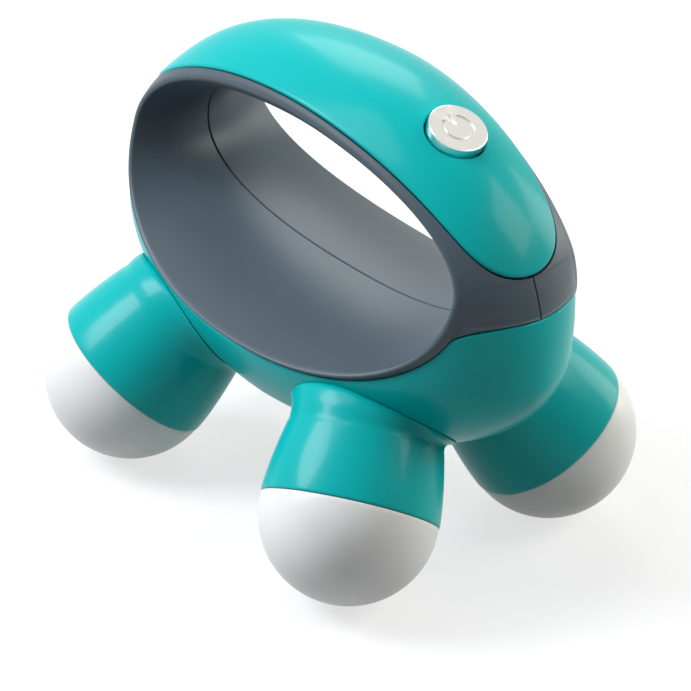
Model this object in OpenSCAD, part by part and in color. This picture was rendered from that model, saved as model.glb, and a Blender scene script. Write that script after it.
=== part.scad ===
// Handheld massager: a hand ring over a bowl-shaped base on four splayed legs.
// The ring is long along X and the hand goes through it along Y.
// Z = 0 is the plane that the four dome tips stand on.

/* [Ring outside] */
// Length of the ring over its two ends
ring_l = 116.6; // [110:0.2:124]
// Height of the ring's widest level
ring_z = 48.9; // [47:0.1:51]
// Rise of the crown above the widest level
crown_h = 48.5; // [46:0.1:52]
// Thickness of the ring at the middle of the crown
crown_w = 16.05; // [15.8:0.05:18]
// Squareness of the crown's curve
crown_n = 2.19; // [2.05:0.01:2.4]
// Fall of the belly's curve below the widest level
belly_h = 32; // [30:0.1:34]
// Squareness of the belly's curve
belly_n = 1.72; // [1.6:0.01:1.9]
// Level of the flat belly
belly_z = 23.7; // [22.5:0.1:25]
// Radius that blends the flat belly into the bowl
belly_blend = 3; // [2:0.1:5]

/* [Rim of the hand tunnel] */
// Length of the rim
rim_l = 96; // [92:0.2:98]
// Height of the rim's widest point over the tunnel's floor
rim_lift = 17.5; // [17:0.1:18.5]
// Rise of the rim above its widest point
rim_up = 20.9; // [19.5:0.1:21.5]
// Fall of the rim below its widest point
rim_down = 24.25; // [23:0.05:24.8]
// Squareness of the rim's upper curve
rim_up_n = 1.86; // [1.8:0.01:2]
// Squareness of the rim's lower curve
rim_down_n = 2.27; // [2.1:0.01:2.4]
// Half width of the ring at the rim's top
rim_w_top = 16.3; // [15:0.1:18]
// Half width of the ring at the rim's ends
rim_w_end = 15.9; // [15:0.1:17]
// Width of the ring beyond the cells' ends at the rim's bottom
side_room = 7.05; // [6.6:0.05:8.5]
// Swell of the half width between top and ends
rim_swell = 3.3; // [2.5:0.1:4]
// Width of the rounded rim band at the top
band_top = 2.9; // [2.6:0.1:3.4]
// Width of the rounded rim band at the ends
band_end = 2.1; // [1.8:0.1:2.6]
// Width of the rounded rim band at the bottom
band_low = 1.1; // [1:0.1:1.6]
// How far the band's outer edge leans in at the ends
band_lean = 2; // [1.5:0.1:2.5]

/* [Hand tunnel] */
// Length of the tunnel at its waist
waist_l = 88.6; // [85:0.2:90]
// Level of the tunnel's floor at its waist
waist_low = 50.25; // [49.9:0.05:51]
// Squareness of the tunnel
waist_n = 2.34; // [2.2:0.01:2.5]

/* [Walls] */
// Wall of the grey liner's tunnel skin
skin_t = 1.7; // [1.4:0.1:2]
// Wall of the top cover
cover_t = 2; // [1.6:0.1:2.3]
// Wall of the top cover at its edge
cover_edge_t = 1.1; // [0.9:0.1:1.3]
// How far the cover stands proud of the rim
cover_proud = 0.3; // [0.1:0.05:0.5]
// Wall of the base bowl
base_t = 1.8; // [1.5:0.1:2.1]
// Gap left under and beside the outer shells
shell_gap = 0.3; // [0.2:0.05:0.4]
// Half width of the groove between the two liner halves
seam_gap = 0.15; // [0.1:0.05:0.3]

/* [Top cover] */
// Ring angle of the cover's pointed ends
cover_tip_a = 26.9; // [25:0.1:30]
// Bluntness of the cover's ends
cover_n = 11; // [8:0.5:14]
// Share of the rim's width that the cover takes
cover_share = 0.98; // [0.96:0.005:0.98]

/* [Base bowl] */
// Ring angle of the bowl's upper edge at the ends
base_edge_a = 17; // [15:0.1:19]
// How far that edge dips towards the rim, in degrees
base_dip = 3.5; // [2:0.1:5]

/* [Legs] */
// Distance of the leg seams from the middle along X
leg_x = 34; // [33.5:0.1:34.6]
// Distance of the leg seams from the middle along Y
leg_y = 26.3; // [25.9:0.1:26.8]
// Tilt of the legs from the vertical
leg_tilt = 39.3; // [38.5:0.1:40]
// Direction of the legs in plan, from X towards Y
leg_turn = 57.3; // [56.5:0.1:58]
// Radius of the leg at the seam with its tip
leg_r = 18; // [17.5:0.1:18.5]
// Radius of the leg at its neck
neck_r = 15.6; // [15:0.1:16.2]
// Distance from the seam to the neck
neck_d = 15.4; // [14.8:0.1:15.6]
// Bow of the leg between seam and neck
leg_bow = 1.5; // [1.2:0.05:1.8]
// Radius of the shoulder on the side of the ring's end
shoulder_end_r = 17.7; // [17:0.1:18]
// Radius of the shoulder on the side of the ring's middle
shoulder_mid_r = 16.6; // [16:0.1:17]
// Radius of the shoulder at its outer top
shoulder_top_r = 14; // [13.6:0.1:14.2]
// Radius of the shoulder at its inner foot
shoulder_low_r = 17; // [16.4:0.1:17.4]
// Width of the ring on which the leg sits against the bowl
seat_w = 2.2; // [1.8:0.1:2.8]
// Gap between that ring and the bowl
seat_gap = 0.15; // [0.1:0.05:0.25]
// Wall of the legs
leg_t = 1.6; // [1.3:0.1:2]
// Distance from the seam to the web inside the leg
web_d = 11.5; // [10.5:0.1:12]
// Thickness of the web
web_t = 1.5; // [1:0.1:1.6]
// Radius of the screw boss on the web
leg_boss_r = 3.2; // [2.8:0.1:3.6]

/* [Dome tips] */
// Radius of the dome
dome_r = 17.88; // [17.4:0.02:18.2]
// Length of the straight band between seam and dome
tip_band = 1.15; // [0.8:0.05:1.6]
// Gap at the seam between leg and tip
tip_gap = 0.12; // [0.08:0.02:0.2]
// Wall of the dome tips
tip_t = 2; // [1.6:0.1:2.6]
// Depth of the tip's collar inside the leg
collar_d = 4; // [3:0.1:5]
// Gap between the collar and the leg's inside
collar_gap = 0.2; // [0.1:0.05:0.3]

/* [Power button] */
// Ring angle at which the button sits
button_a = 60.3; // [58:0.1:62]
// Diameter of the button
button_d = 12; // [11:0.1:12.6]
// Radial clearance of the button in its hole
button_gap = 0.25; // [0.15:0.05:0.4]
// Width of the chamfer round the hole
hole_chamfer = 0.9; // [0.6:0.1:1.1]
// Height of the button's top over the ring's outer surface
button_up = 1.4; // [1.2:0.1:1.7]
// Travel of the button
button_travel = 1; // [0.8:0.1:1.1]
// Rounding of the button's upper edge
button_round = 0.4; // [0.2:0.1:0.8]
// Wall of the button's cap
button_t = 1; // [0.8:0.1:1.2]
// Depth of the flange that holds the button in
flange_s = 3.2; // [3.1:0.1:3.4]
// Radius of that flange
flange_r = 7; // [6.7:0.1:7.1]
// Thickness of that flange
flange_t = 0.7; // [0.5:0.1:0.8]
// Radius of the stem and of the switch's plunger
stem_r = 1.5; // [1.2:0.1:1.8]
// Radius of the middle of the power symbol's arc
symbol_r = 3.1; // [2.6:0.1:3.6]
// Width of the power symbol's grooves
symbol_w = 0.7; // [0.4:0.05:0.9]
// Depth of the power symbol's grooves
symbol_depth = 0.25; // [0.15:0.05:0.4]

/* [Switch and board] */
// Depth of the switch's top under the ring's outer surface
switch_s = 5.6; // [5.5:0.05:5.8]
// Width of the switch
switch_w = 6; // [5:0.1:6.5]
// Height of the switch
switch_h = 2.5; // [2.2:0.1:2.6]
// Thickness of the board
board_t = 1; // [0.8:0.1:1]
// Width of the board along Y
board_w = 8.4; // [7:0.1:8.6]
// Distance of the board's screws from the button's axis
board_screw_u = 9.5; // [9.2:0.1:9.8]

/* [Batteries] */
// Diameter of an AAA cell
cell_d = 10.5; // [10:0.1:10.5]
// Length of an AAA cell
cell_l = 44.5; // [43.5:0.1:44.5]
// Gap between the two cells
cell_gap = 0.5; // [0.3:0.05:0.8]
// Free height between the battery tray's roof and the tunnel's skin
roof_free = 3.05; // [2.9:0.05:3.2]
// Gap between the cells and the tray's side walls
tray_gap = 0.65; // [0.3:0.05:0.8]
// Wall of the battery tray
tray_t = 1.1; // [0.9:0.1:1.2]
// Room for a contact spring between a cell's end and the contact plate
contact_room = 1.55; // [1.3:0.05:1.6]
// Thickness of the contact plates
plate_t = 0.4; // [0.3:0.05:0.4]
// Radius of the contact springs
spring_r = 2.5; // [2:0.1:3]
// Radius of the springs' wire
spring_wire_r = 0.25; // [0.2:0.01:0.28]

/* [Battery door] */
// How much narrower than the tray the door is on each side
door_in = 0.2; // [0.1:0.05:0.6]
// How far the door's latch edge lies beyond the cells' ends
latch_out = 0.05; // [0:0.05:0.2]
// Wall of the battery door
door_t = 1.7; // [1.4:0.1:1.8]
// Gap round the battery door
door_gap = 0.3; // [0.2:0.05:0.35]
// How far the hinge's axis lies inside the cells' ends
hinge_in = 2.65; // [2.5:0.05:2.9]
// Height of the hinge's axis over the belly at the door's rounded edge
hinge_rise = 0.885; // [0.785:0.005:0.985]
// Radius of the door's rounded hinge edge
hinge_edge_r = 3.1; // [3:0.05:3.1]
// Radius of the hinge pins
pin_r = 1; // [0.9:0.02:1.02]
// Radial clearance of the hinge pins
pin_fit = 0.08; // [0.04:0.01:0.08]
// Length of the hinge pins beyond the door
pin_l = 2.6; // [2:0.1:2.7]

/* [Motor] */
// Diameter of the motor can
motor_d = 15.5; // [14.5:0.1:15.5]
// Height over the can's two flats
motor_flat = 12; // [11:0.1:12.2]
// Gap between the screw posts and the motor can
motor_post_gap = 1.1; // [0.8:0.1:1.6]
// Distance between the ring's end and the eccentric weight
end_free = 12.8; // [12.5:0.1:14.5]
// Distance of the motor's axis below the tunnel
motor_drop = 8.25; // [8.05:0.05:8.45]
// Radius of the motor shaft
shaft_r = 1; // [0.8:0.05:1.2]
// Running clearance of the shaft in the can
shaft_fit = 0.05; // [0.02:0.01:0.1]
// Radius of the eccentric weight
weight_r = 6.5; // [5.5:0.1:6.5]
// Thickness of the eccentric weight
weight_l = 5; // [4:0.1:5.2]
// Length of the cradle along the motor
cradle_l = 9; // [8:0.1:9.4]
// Height of the cradle's underside over the belly
cradle_up = 7.5; // [7.4:0.1:7.8]
// Gap between the can and what holds it
motor_gap = 0.1; // [0.05:0.05:0.15]
// Wall of the strap over the motor
strap_t = 0.9; // [0.7:0.1:0.9]
// Distance of the strap's screws from the motor's axis
strap_screw_y = 10.2; // [10.2:0.05:10.3]

/* [Fasteners] */
// Diameter of the screws that join base and ring
screw_d = 2.6; // [2.4:0.1:2.8]
// Diameter of those screws' heads
screw_head_d = 4.6; // [4.2:0.1:4.8]
// Gap between the battery tray and the posts that take those screws
screw_room = 0.2; // [0.1:0.05:0.4]
// Distance of those screws from the middle along Y
screw_y = 3.4; // [3.2:0.1:3.6]
// Diameter of the posts that take those screws
post_d = 5.2; // [4.8:0.1:5.2]
// Height over the belly at which posts and base meet
post_up = 4.8; // [4.7:0.1:5]
// Diameter of the leg screws
leg_screw_d = 3; // [2.6:0.1:3.2]
// Diameter of the leg screws' heads
leg_head_d = 5.4; // [5:0.1:5.6]
// Distance from the bowl to the leg screw's head, along the leg's axis
head_seat = 4; // [3.8:0.05:4.2]
// Diameter of the small screws
small_screw_d = 1.8; // [1.6:0.1:1.9]
// Diameter of the small screws' heads
small_head_d = 3; // [2.6:0.1:3]
// Height of the small screws' heads
small_head_h = 0.9; // [0.7:0.1:1]
// Radial gap between a screw and its hole
screw_gap = 0.05; // [0.03:0.01:0.1]
// Radius of the wires
wire_r = 0.6; // [0.4:0.05:0.65]

/* [Smoothness] */
// Rows along the cover and along the bowl
shell_rows = 40; // [32:2:48]
// Facets round a leg's shoulder
shoulder_facets = 48; // [32:4:64]
// Facets of the round pieces
$fn = 64; // [32:4:96]

/* [Hidden] */

teal = [0.0, 0.66, 0.64];
grey = [0.36, 0.39, 0.43];
white = [0.9, 0.9, 0.89];
chrome = [0.8, 0.8, 0.82];
black = [0.12, 0.12, 0.13];
metal = [0.7, 0.7, 0.72];
brass = [0.75, 0.6, 0.3];
green = [0.1, 0.4, 0.2];
red = [0.7, 0.1, 0.1];

// Superellipse: the reach in direction (c, s) for squareness n
function sup(c, s, n) = pow(pow(abs(c), n) + pow(abs(s), n), -1 / n);
function mix(p, q, k) = p + (q - p) * k;
function unit(v) = v / norm(v);

// Sizes that follow from the ring, the cells and the named gaps
waist_top = ring_z + crown_h - crown_w;
waist_z = (waist_top + waist_low) / 2;
waist_h = waist_top - waist_low;
rim_z = waist_low + rim_lift;
board_s = switch_s + switch_h;
cell_end = cell_l / 2;
rim_w_low = cell_end + side_room;
cell_pitch = cell_d + cell_gap;
tray_in = (cell_pitch + cell_d) / 2 + tray_gap;
tray_out = tray_in + tray_t;
tray_top = waist_low - skin_t - roof_free;
roof_z = tray_top - tray_t;
cell_z = roof_z - 0.1 - cell_d / 2;
plate_y = cell_end + contact_room;
tray_end = plate_y + plate_t + 0.05;
door_w = 2 * (tray_in - door_in);
latch_y = cell_end + latch_out;
hinge_y = cell_end - hinge_in;
screw_x = tray_out + screw_room + post_d / 2;
post_z = belly_z + post_up;
cradle_z = belly_z + cradle_up;
motor_x = screw_x + post_d / 2 + motor_post_gap;
motor_z = waist_low - motor_drop;
nose_l = 0.8;
weight_gap = 0.7;
motor_l = ring_l / 2 - end_free - weight_l - weight_gap - nose_l - motor_x;
cradle_x = motor_x + motor_l / 2;

// Outer profile of the ring in its mid-plane, [x, z] at ring angle a
function mid(a) =
    let (high = sin(a) >= 0,
         r = sup(cos(a), sin(a), high ? crown_n : belly_n))
    [ring_l / 2 * r * cos(a), ring_z + (high ? crown_h : belly_h) * r * sin(a)];

// The rim's half width is a parabola of height through top, end and bottom
rim_w_mid = rim_w_end + rim_swell;
slope_up = (rim_w_top - rim_w_mid) / rim_up;
slope_down = (rim_w_low - rim_w_mid) / -rim_down;
rim_w2 = (slope_up - slope_down) / (rim_up + rim_down);
rim_w1 = slope_up - rim_w2 * rim_up;
function rim_w(c2, h) = rim_w_mid - rim_swell * c2 + rim_w1 * h + rim_w2 * h * h;

// Rim curve at rim angle t, moved out by d and leant in by e: [x, y, z]
function rim(t, d = 0, e = 0) =
    let (high = sin(t) >= 0,
         h = high ? rim_up : rim_down,
         r = sup(cos(t), sin(t), high ? rim_up_n : rim_down_n))
    [(rim_l / 2 + d) * r * cos(t), rim_w(pow(r * cos(t), 2), h * r * sin(t)) - e,
     rim_z + (h + d) * r * sin(t)];

// Outer edge of the rim band
function band_w(t) = mix(sin(t) >= 0 ? band_top : band_low, band_end, pow(cos(t), 2));
function edge(t) = rim(t, band_w(t), band_lean * pow(cos(t), 2));

// Tunnel profile in the mid-plane at rim angle t, [x, z]
function waist(t) =
    let (r = sup(cos(t), sin(t), waist_n))
    [waist_l / 2 * r * cos(t), waist_z + waist_h / 2 * r * sin(t)];

// Rim angle that faces ring angle a
function rim_a(a) = let (m = mid(a)) atan2((m[1] - rim_z) / rim_up, m[0] / (rim_l / 2));

// Squareness of the outer cross-section: round on the crown, boxy on the belly
function sec_p(s) = s >= 0 ? mix(1.25, 1, s) : mix(1.25, 1.44, -s);
function sec_k(s) = s >= 0 ? mix(1.85, 2, s) : mix(1.85, 1.94, -s);
function level(z) = let (d = z - belly_z) belly_z + (d + sqrt(d * d + pow(belly_blend, 2))) / 2;

// Outer surface at ring angle a and section angle b, 0 in the mid-plane and 90 at the rim
function outer(a, b) =
    let (m = mid(a), e = edge(rim_a(a)), s = sin(a), f = pow(cos(b), 2 / sec_p(s)))
    [mix(e[0], m[0], f), sign(b) * e[1] * pow(abs(sin(b)), 2 / sec_k(s)), level(mix(e[2], m[1], f))];
function outer_n(a, b) =
    let (c = max(-84, min(84, b)))
    unit(cross(outer(a, c + 2) - outer(a, c - 2), outer(a + 1, c) - outer(a - 1, c)));
function inset(a, b, d) = outer(a, b) - d * outer_n(a, b);
// Level of the belly's outside in the middle of the ring's length, y off the mid-plane
function belly_at(y) = outer(-90, asin(pow(y / edge(-90)[1], sec_k(-1) / 2)))[2];
hinge_z = belly_at(hinge_y + hinge_edge_r) + hinge_rise;

// Tunnel surface at ring angle a, s from 0 in the mid-plane to 1 at the rim
function tunnel(a, s) =
    let (t = rim_a(a), w = waist(t), l = rim(t))
    [mix(w[0], l[0], s * s), s * l[1], mix(w[1], l[2], s * s)];
function tunnel_n(a, s) =
    unit(cross(tunnel(a + 1, s) - tunnel(a - 1, s), tunnel(a, s + 0.02) - tunnel(a, s - 0.02)));
function behind(a, s, d) = tunnel(a, s) - d * tunnel_n(a, s);

// Section angle at which the cover ends, as a share of the rim width
function cover_u(a) = abs(90 - a) / (90 - cover_tip_a);
function share_b(share, a) = asin(pow(min(1, share), sec_k(sin(a)) / 2));
function cover_share_at(a) = let (u = min(1, cover_u(a))) cover_share * sqrt(1 - pow(u, cover_n));

// A closed shell over a grid of outer points and a like grid of inner points
module shell(out, in) {
    rows = len(out);
    cols = len(out[0]);
    n = rows * cols;
    function at(i, j) = i * cols + j;
    border = concat([for (j = [0 : cols - 1]) at(0, j)],
                    [for (i = [1 : rows - 1]) at(i, cols - 1)],
                    [for (j = [1 : cols - 1]) at(rows - 1, cols - 1 - j)],
                    [for (i = [1 : rows - 2]) at(rows - 1 - i, 0)]);
    m = len(border);
    polyhedron(
        points = concat([for (r = out) each r], [for (r = in) each r]),
        faces = concat(
            [for (i = [0 : rows - 2], j = [0 : cols - 2]) each [
                [at(i, j), at(i + 1, j + 1), at(i, j + 1)],
                [at(i, j), at(i + 1, j), at(i + 1, j + 1)],
                [n + at(i, j), n + at(i, j + 1), n + at(i + 1, j + 1)],
                [n + at(i, j), n + at(i + 1, j + 1), n + at(i + 1, j)]]],
            [for (k = [0 : m - 1]) let (p = border[k], q = border[(k + 1) % m]) each [
                [p, n + q, n + p],
                [p, q, n + q]]]),
        convexity = 10);
}

// A closed body swept round through like rings of points
module sweep_ring(rings) {
    rows = len(rings);
    cols = len(rings[0]);
    function at(i, j) = (i % rows) * cols + (j % cols);
    polyhedron(
        points = [for (r = rings) each r],
        faces = [for (i = [0 : rows - 1], j = [0 : cols - 1]) each [
            [at(i, j), at(i + 1, j + 1), at(i + 1, j)],
            [at(i, j), at(i, j + 1), at(i + 1, j + 1)]]],
        convexity = 10);
}

// A round wire along the points of a route, with flat ends; across points away from the route
module tube(route, r, across, sides = 8) {
    n = len(route);
    function ahead(i) = unit(route[min(n - 1, i + 1)] - route[max(0, i - 1)]);
    function ring(i) =
        let (t = ahead(i), u = unit(cross(t, across)), v = cross(t, u))
        [for (k = [0 : sides - 1]) let (g = 360 * k / sides) route[i] + r * (cos(g) * u + sin(g) * v)];
    polyhedron(
        points = [for (i = [0 : n - 1]) each ring(i)],
        faces = concat(
            [[for (k = [0 : sides - 1]) k]],
            [for (i = [0 : n - 2], k = [0 : sides - 1]) let (a = i * sides, l = (k + 1) % sides) each [
                [a + k, a + sides + k, a + sides + l],
                [a + k, a + sides + l, a + l]]],
            [[for (k = [0 : sides - 1]) n * sides - 1 - k]]),
        convexity = 10);
}

module in_all_corners() {
    for (mx = [0, 1], my = [0, 1]) mirror([mx, 0, 0]) mirror([0, my, 0]) children();
}
module on_both_x() {
    for (mx = [0, 1]) mirror([mx, 0, 0]) children();
}
module on_both_y() {
    for (my = [0, 1]) mirror([0, my, 0]) children();
}
// A cylinder along X from x to x + l
module bar_x(x, y, z, r, l) {
    translate([x, y, z]) rotate([0, 90, 0]) cylinder(r = r, h = l);
}

// Frame of the power button: Z along its axis with 0 on the ring's outer surface, Y as the ring's Y
button_p = outer(button_a, 0);
button_n = outer_n(button_a, 0);
module at_button() {
    translate(button_p) rotate([0, atan2(button_n[0], button_n[2]), 0]) children();
}
button_r = button_d / 2;
hole_r = button_r + button_gap;
stem_end = flange_s + flange_t + 0.7;
module board_screw_places() {
    for (u = [-board_screw_u, board_screw_u]) translate([u, 0, 0]) children();
}

// Frame of a leg in the corner +X +Y: Z up its axis from the seam, X to its inner side
seam_z = dome_r + tip_band * cos(leg_tilt);
leg_p = [leg_x, leg_y, seam_z];
leg_u = [-cos(leg_tilt) * cos(leg_turn), -cos(leg_tilt) * sin(leg_turn), -sin(leg_tilt)];
leg_v = [sin(leg_turn), -cos(leg_turn), 0];
leg_w = cross(leg_u, leg_v);
module at_leg() {
    translate(leg_p) rotate([0, leg_tilt, leg_turn + 180]) children();
}

// Top cover: rows run from one tip to the other and close up towards them
cover_cols = [-1, -0.96, -0.85, -0.68, -0.46, -0.23, 0, 0.23, 0.46, 0.68, 0.85, 0.96, 1];
function cover_out(v) = abs(v) > 0.99 ? cover_proud - 0.45 : cover_proud;
function cover_in(v) = cover_out(v) - mix(cover_t, cover_edge_t, pow(abs(v), 4));
cover_boss_r = 1.8;
module cover_skin() {
    ts = [for (i = [0 : shell_rows]) -89 + 178 * i / shell_rows];
    function row(t, lift) =
        let (a = 90 + sin(t) * (90 - cover_tip_a), w = cover_share_at(a))
        [for (v = cover_cols)
            inset(a, sign(v) * share_b(abs(v) * w, a), -(lift ? cover_out(v) : cover_in(v)))];
    shell([for (t = ts) row(t, true)], [for (t = ts) row(t, false)]);
}
module top_cover() {
    boss_top = -2;
    chamfer_h = hole_chamfer + 2;
    color(teal) difference() {
        union() {
            cover_skin();
            at_button() board_screw_places()
                translate([0, 0, -board_s]) cylinder(r = cover_boss_r, h = board_s + boss_top);
        }
        at_button() {
            translate([0, 0, -flange_s]) cylinder(r = hole_r, h = 2 * flange_s);
            translate([0, 0, -hole_chamfer + 0.3])
                cylinder(r1 = hole_r, r2 = hole_r + chamfer_h, h = chamfer_h);
            board_screw_places() translate([0, 0, -board_s - 1])
                cylinder(d = small_screw_d + 2 * screw_gap, h = 5);
        }
    }
}

// Base bowl
bowl_b = 86;
bowl_cols = 8;
function edge_dip(v) = base_dip * pow(abs(v), 3.5);
function bowl_a(u, v) = -90 + u * (90 + base_edge_a - 0.35 - edge_dip(v));
module bowl(d_out, d_in) {
    us = [for (i = [0 : shell_rows]) -1 + 2 * i / shell_rows];
    vs = [for (j = [-bowl_cols : bowl_cols]) j / bowl_cols];
    shell([for (u = us) [for (v = vs) inset(bowl_a(u, v), bowl_b * v, d_out)]],
          [for (u = us) [for (v = vs) inset(bowl_a(u, v), bowl_b * v, d_in)]]);
}
// What the door takes of the belly, grown by g: straight sides and an edge rounded about the hinge
module door_block(g) {
    half = door_w / 2 + g;
    below = belly_z - 3.7;
    translate([-half, -latch_y - g, below])
        cube([2 * half, latch_y + g + hinge_y, hinge_z + 5.6 - below]);
    translate([-half, hinge_y - 1, below]) cube([2 * half, 2.2 + g, hinge_z - 2.4 - below]);
    bar_x(-half, hinge_y, hinge_z, hinge_edge_r + g, 2 * half);
}
bearing_r = 1.7;
bearing_x = door_w / 2 + door_gap + 0.05;
bearing_l = pin_l + 0.3;
recess_z = belly_z + 2.5;
post_bore = 12;
base_boss_r = 3.5;
cradle_boss_r = 2.3;
module base_shell() {
    color(teal) difference() {
        union() {
            difference() {
                bowl(0, base_t);
                door_block(door_gap);
            }
            on_both_x() bar_x(bearing_x, hinge_y, hinge_z, bearing_r, bearing_l);
            in_all_corners() {
                translate([screw_x, screw_y, belly_z + 1])
                    cylinder(r = base_boss_r, h = post_z - 0.1 - belly_z - 1);
                at_leg() translate([0, 0, leg_head_t - 3]) cylinder(r = base_boss_r, h = 3);
            }
            on_both_y() translate([-cradle_x, strap_screw_y, cradle_z - 4.8])
                cylinder(r = cradle_boss_r, h = 4.75);
        }
        on_both_x() bar_x(bearing_x - 1, hinge_y, hinge_z, pin_r + pin_fit, pin_l + 0.8);
        in_all_corners() {
            translate([screw_x, screw_y, belly_z - 2]) {
                cylinder(d = screw_d + 2 * screw_gap, h = post_up + 3);
                cylinder(d = screw_head_d + 0.4, h = recess_z - belly_z + 2);
            }
            at_leg() translate([0, 0, leg_head_t - 6]) cylinder(d = leg_screw_d + 0.2, h = 8);
        }
        on_both_y() translate([-cradle_x, strap_screw_y, cradle_z - 3])
            cylinder(d = small_screw_d + 2 * screw_gap, h = 4);
    }
}

// Battery door with its rounded edge, hinge pins and latch tongue
module battery_door() {
    knuckle_r = 1.9;
    knuckle_l = 2.5;
    half = door_w / 2;
    tongue = [6, 1, 3];
    color(teal) {
        intersection() {
            bowl(0, door_t);
            door_block(0);
        }
        on_both_x() {
            bar_x(half - knuckle_l, hinge_y, hinge_z, knuckle_r, knuckle_l);
            bar_x(half - knuckle_l, hinge_y, hinge_z, pin_r, knuckle_l + pin_l);
        }
        translate([-tongue[0] / 2, -latch_y + 0.1, hinge_z - 0.6]) cube(tongue);
    }
}

// Grey liner half: a channel that is open towards the cover and towards the base
ledge_b = 88;
tongue_b = 24;
short_tongue_b = 5;
ledge_share = cover_share + 0.018;
ledge_tip_a = cover_tip_a - 0.5;
// Reach of the tongue behind a shell's edge; short beside the battery tray
function tongue_at(a) =
    let (k = max(0, min(1, (acos(-sin(a)) - 38) / 8)))
    mix(short_tongue_b, tongue_b, k * k * (3 - 2 * k));
function base_reach(low) =
    low > base_edge_a ? 0 : low < base_edge_a - base_dip ? 1 : pow((base_edge_a - low) / base_dip, 1 / 3.5);
// Section angle at which the liner's bare band ends
function folded(a) = a > 90 ? 180 - a : a;
function bare_b(a) =
    let (low = folded(a))
    low > ledge_tip_a
    ? share_b(ledge_share * sqrt(1 - pow((90 - low) / (90 - ledge_tip_a), cover_n)), a)
    : ledge_b * base_reach(low);
function off_seam(p) = [p[0], max(seam_gap, p[1]), p[2]];
function liner_ring(a) =
    let (t = rim_a(a), l = rim(t), e = edge(t), bx = bare_b(a), cov = min(1, bx / 12),
         bt = max(0, bx - tongue_at(a)), crown = folded(a) > base_edge_a,
         under = crown ? cover_edge_t + shell_gap - cover_proud : base_t + shell_gap,
         deep = crown ? cover_t + shell_gap - cover_proud : under,
         d1 = mix(0.7, under, cov), d2 = mix(1.3, deep, cov), d3 = mix(1.9, d2 + 1.4, cov))
    [for (p = [tunnel(a, 0), tunnel(a, 0.4), tunnel(a, 0.7), tunnel(a, 0.9), l,
               (l + e) / 2 + [0, 0.9, 0], e, outer(a, (90 + bx) / 2), outer(a, bx),
               inset(a, bx, d1), inset(a, bt, d2), inset(a, bt, d3),
               behind(a, 0.8, skin_t), behind(a, 0.4, skin_t), behind(a, 0, skin_t)]) off_seam(p)];
function span(p, q, n) = [for (i = [0 : n - 1]) mix(p, q, i / n)];
// Ring angles of the sections, closer together where the bare band changes width
function ring_stops() = concat(
    span(-90, base_edge_a - base_dip, 20),
    [for (j = [bowl_cols : -1 : 1]) base_edge_a - edge_dip(j / bowl_cols)],
    span(base_edge_a, ledge_tip_a, 4),
    [for (i = [0 : 8]) mix(ledge_tip_a, ledge_tip_a + 12, pow(i / 9, 2))],
    span(ledge_tip_a + 12, 90, 10));
module liner_half() {
    right = ring_stops();
    left = [for (i = [0 : len(right) - 1]) 180 - (i == 0 ? 90 : right[len(right) - i])];
    post_h = waist_low - 0.75 - post_z;
    difference() {
        union() {
            sweep_ring([for (a = concat(right, left)) liner_ring(a)]);
            on_both_x() translate([screw_x, screw_y, post_z]) cylinder(d = post_d, h = post_h);
        }
        on_both_x() translate([screw_x, screw_y, post_z - 1])
            cylinder(d = screw_d + 2 * screw_gap, h = post_bore + 1);
    }
}
module grip_liner_back() {
    color(grey) liner_half();
}
module grip_liner_front() {
    color(grey) mirror([0, 1, 0]) liner_half();
}

// Leg: a bowed tube, and a shoulder that flares on to the bowl
function leg_radius(t) = mix(leg_r, neck_r, pow(t / neck_d, leg_bow));
function leg_local(p) = let (d = p - leg_p) [d * leg_u, d * leg_v, d * leg_w];
function limit(x, m) = max(-m, min(m, x));
// Point of the bowl's outside, less the gap, whose leg coordinates are [u, v], by Newton steps
function seat(u, v, a = -52, b = 40, steps = 9) =
    let (g = leg_local(inset(a, b, -seat_gap)))
    steps == 0 ? g :
    let (ga = leg_local(inset(a + 1, b, -seat_gap)) - g, gb = leg_local(inset(a, b + 1, -seat_gap)) - g,
         du = u - g[0], dv = v - g[1], det = ga[0] * gb[1] - ga[1] * gb[0],
         da = (du * gb[1] - dv * gb[0]) / det, db = (ga[0] * dv - ga[1] * du) / det)
    seat(u, v, a + limit(da, 8), min(83, b + limit(db, 8)), steps - 1);
function shoulder_r(g) =
    let (s = sin(g))
    mix(cos(g) < 0 ? shoulder_top_r : shoulder_low_r, s > 0 ? shoulder_end_r : shoulder_mid_r,
        pow(abs(s), s > 0 ? 2 : 3));
tube_top = neck_d - 1;
leg_seat_t = seat(0, 0)[2];
leg_head_t = leg_seat_t + head_seat;
leg_bore_low = 8;
function shoulder_ring(g) =
    let (r = shoulder_r(g), c = cos(g), s = sin(g),
         t1 = seat(r * c, r * s)[2], t0 = seat((r - seat_w) * c, (r - seat_w) * s)[2],
         bend = mix(neck_d, t1, 0.75), sunk = tube_top - 0.8, neck_in = neck_r - leg_t)
    [for (p = [[leg_radius(tube_top) - 0.1, sunk], [neck_r, neck_d],
               [mix(neck_r, r, 0.09), mix(neck_d, t1, 0.45)], [mix(neck_r, r, 0.42), mix(neck_d, t1, 0.8)],
               [mix(neck_r, r, 0.72), mix(bend, t1, 0.72)], [r, t1],
               [r - seat_w, t0], [mix(neck_in, r - seat_w, 0.3), mix(neck_d, t0, 0.6)],
               [neck_in, neck_d], [leg_radius(tube_top) - leg_t + 0.15, sunk]])
        [p[0] * c, p[0] * s, p[1]]];
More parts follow.
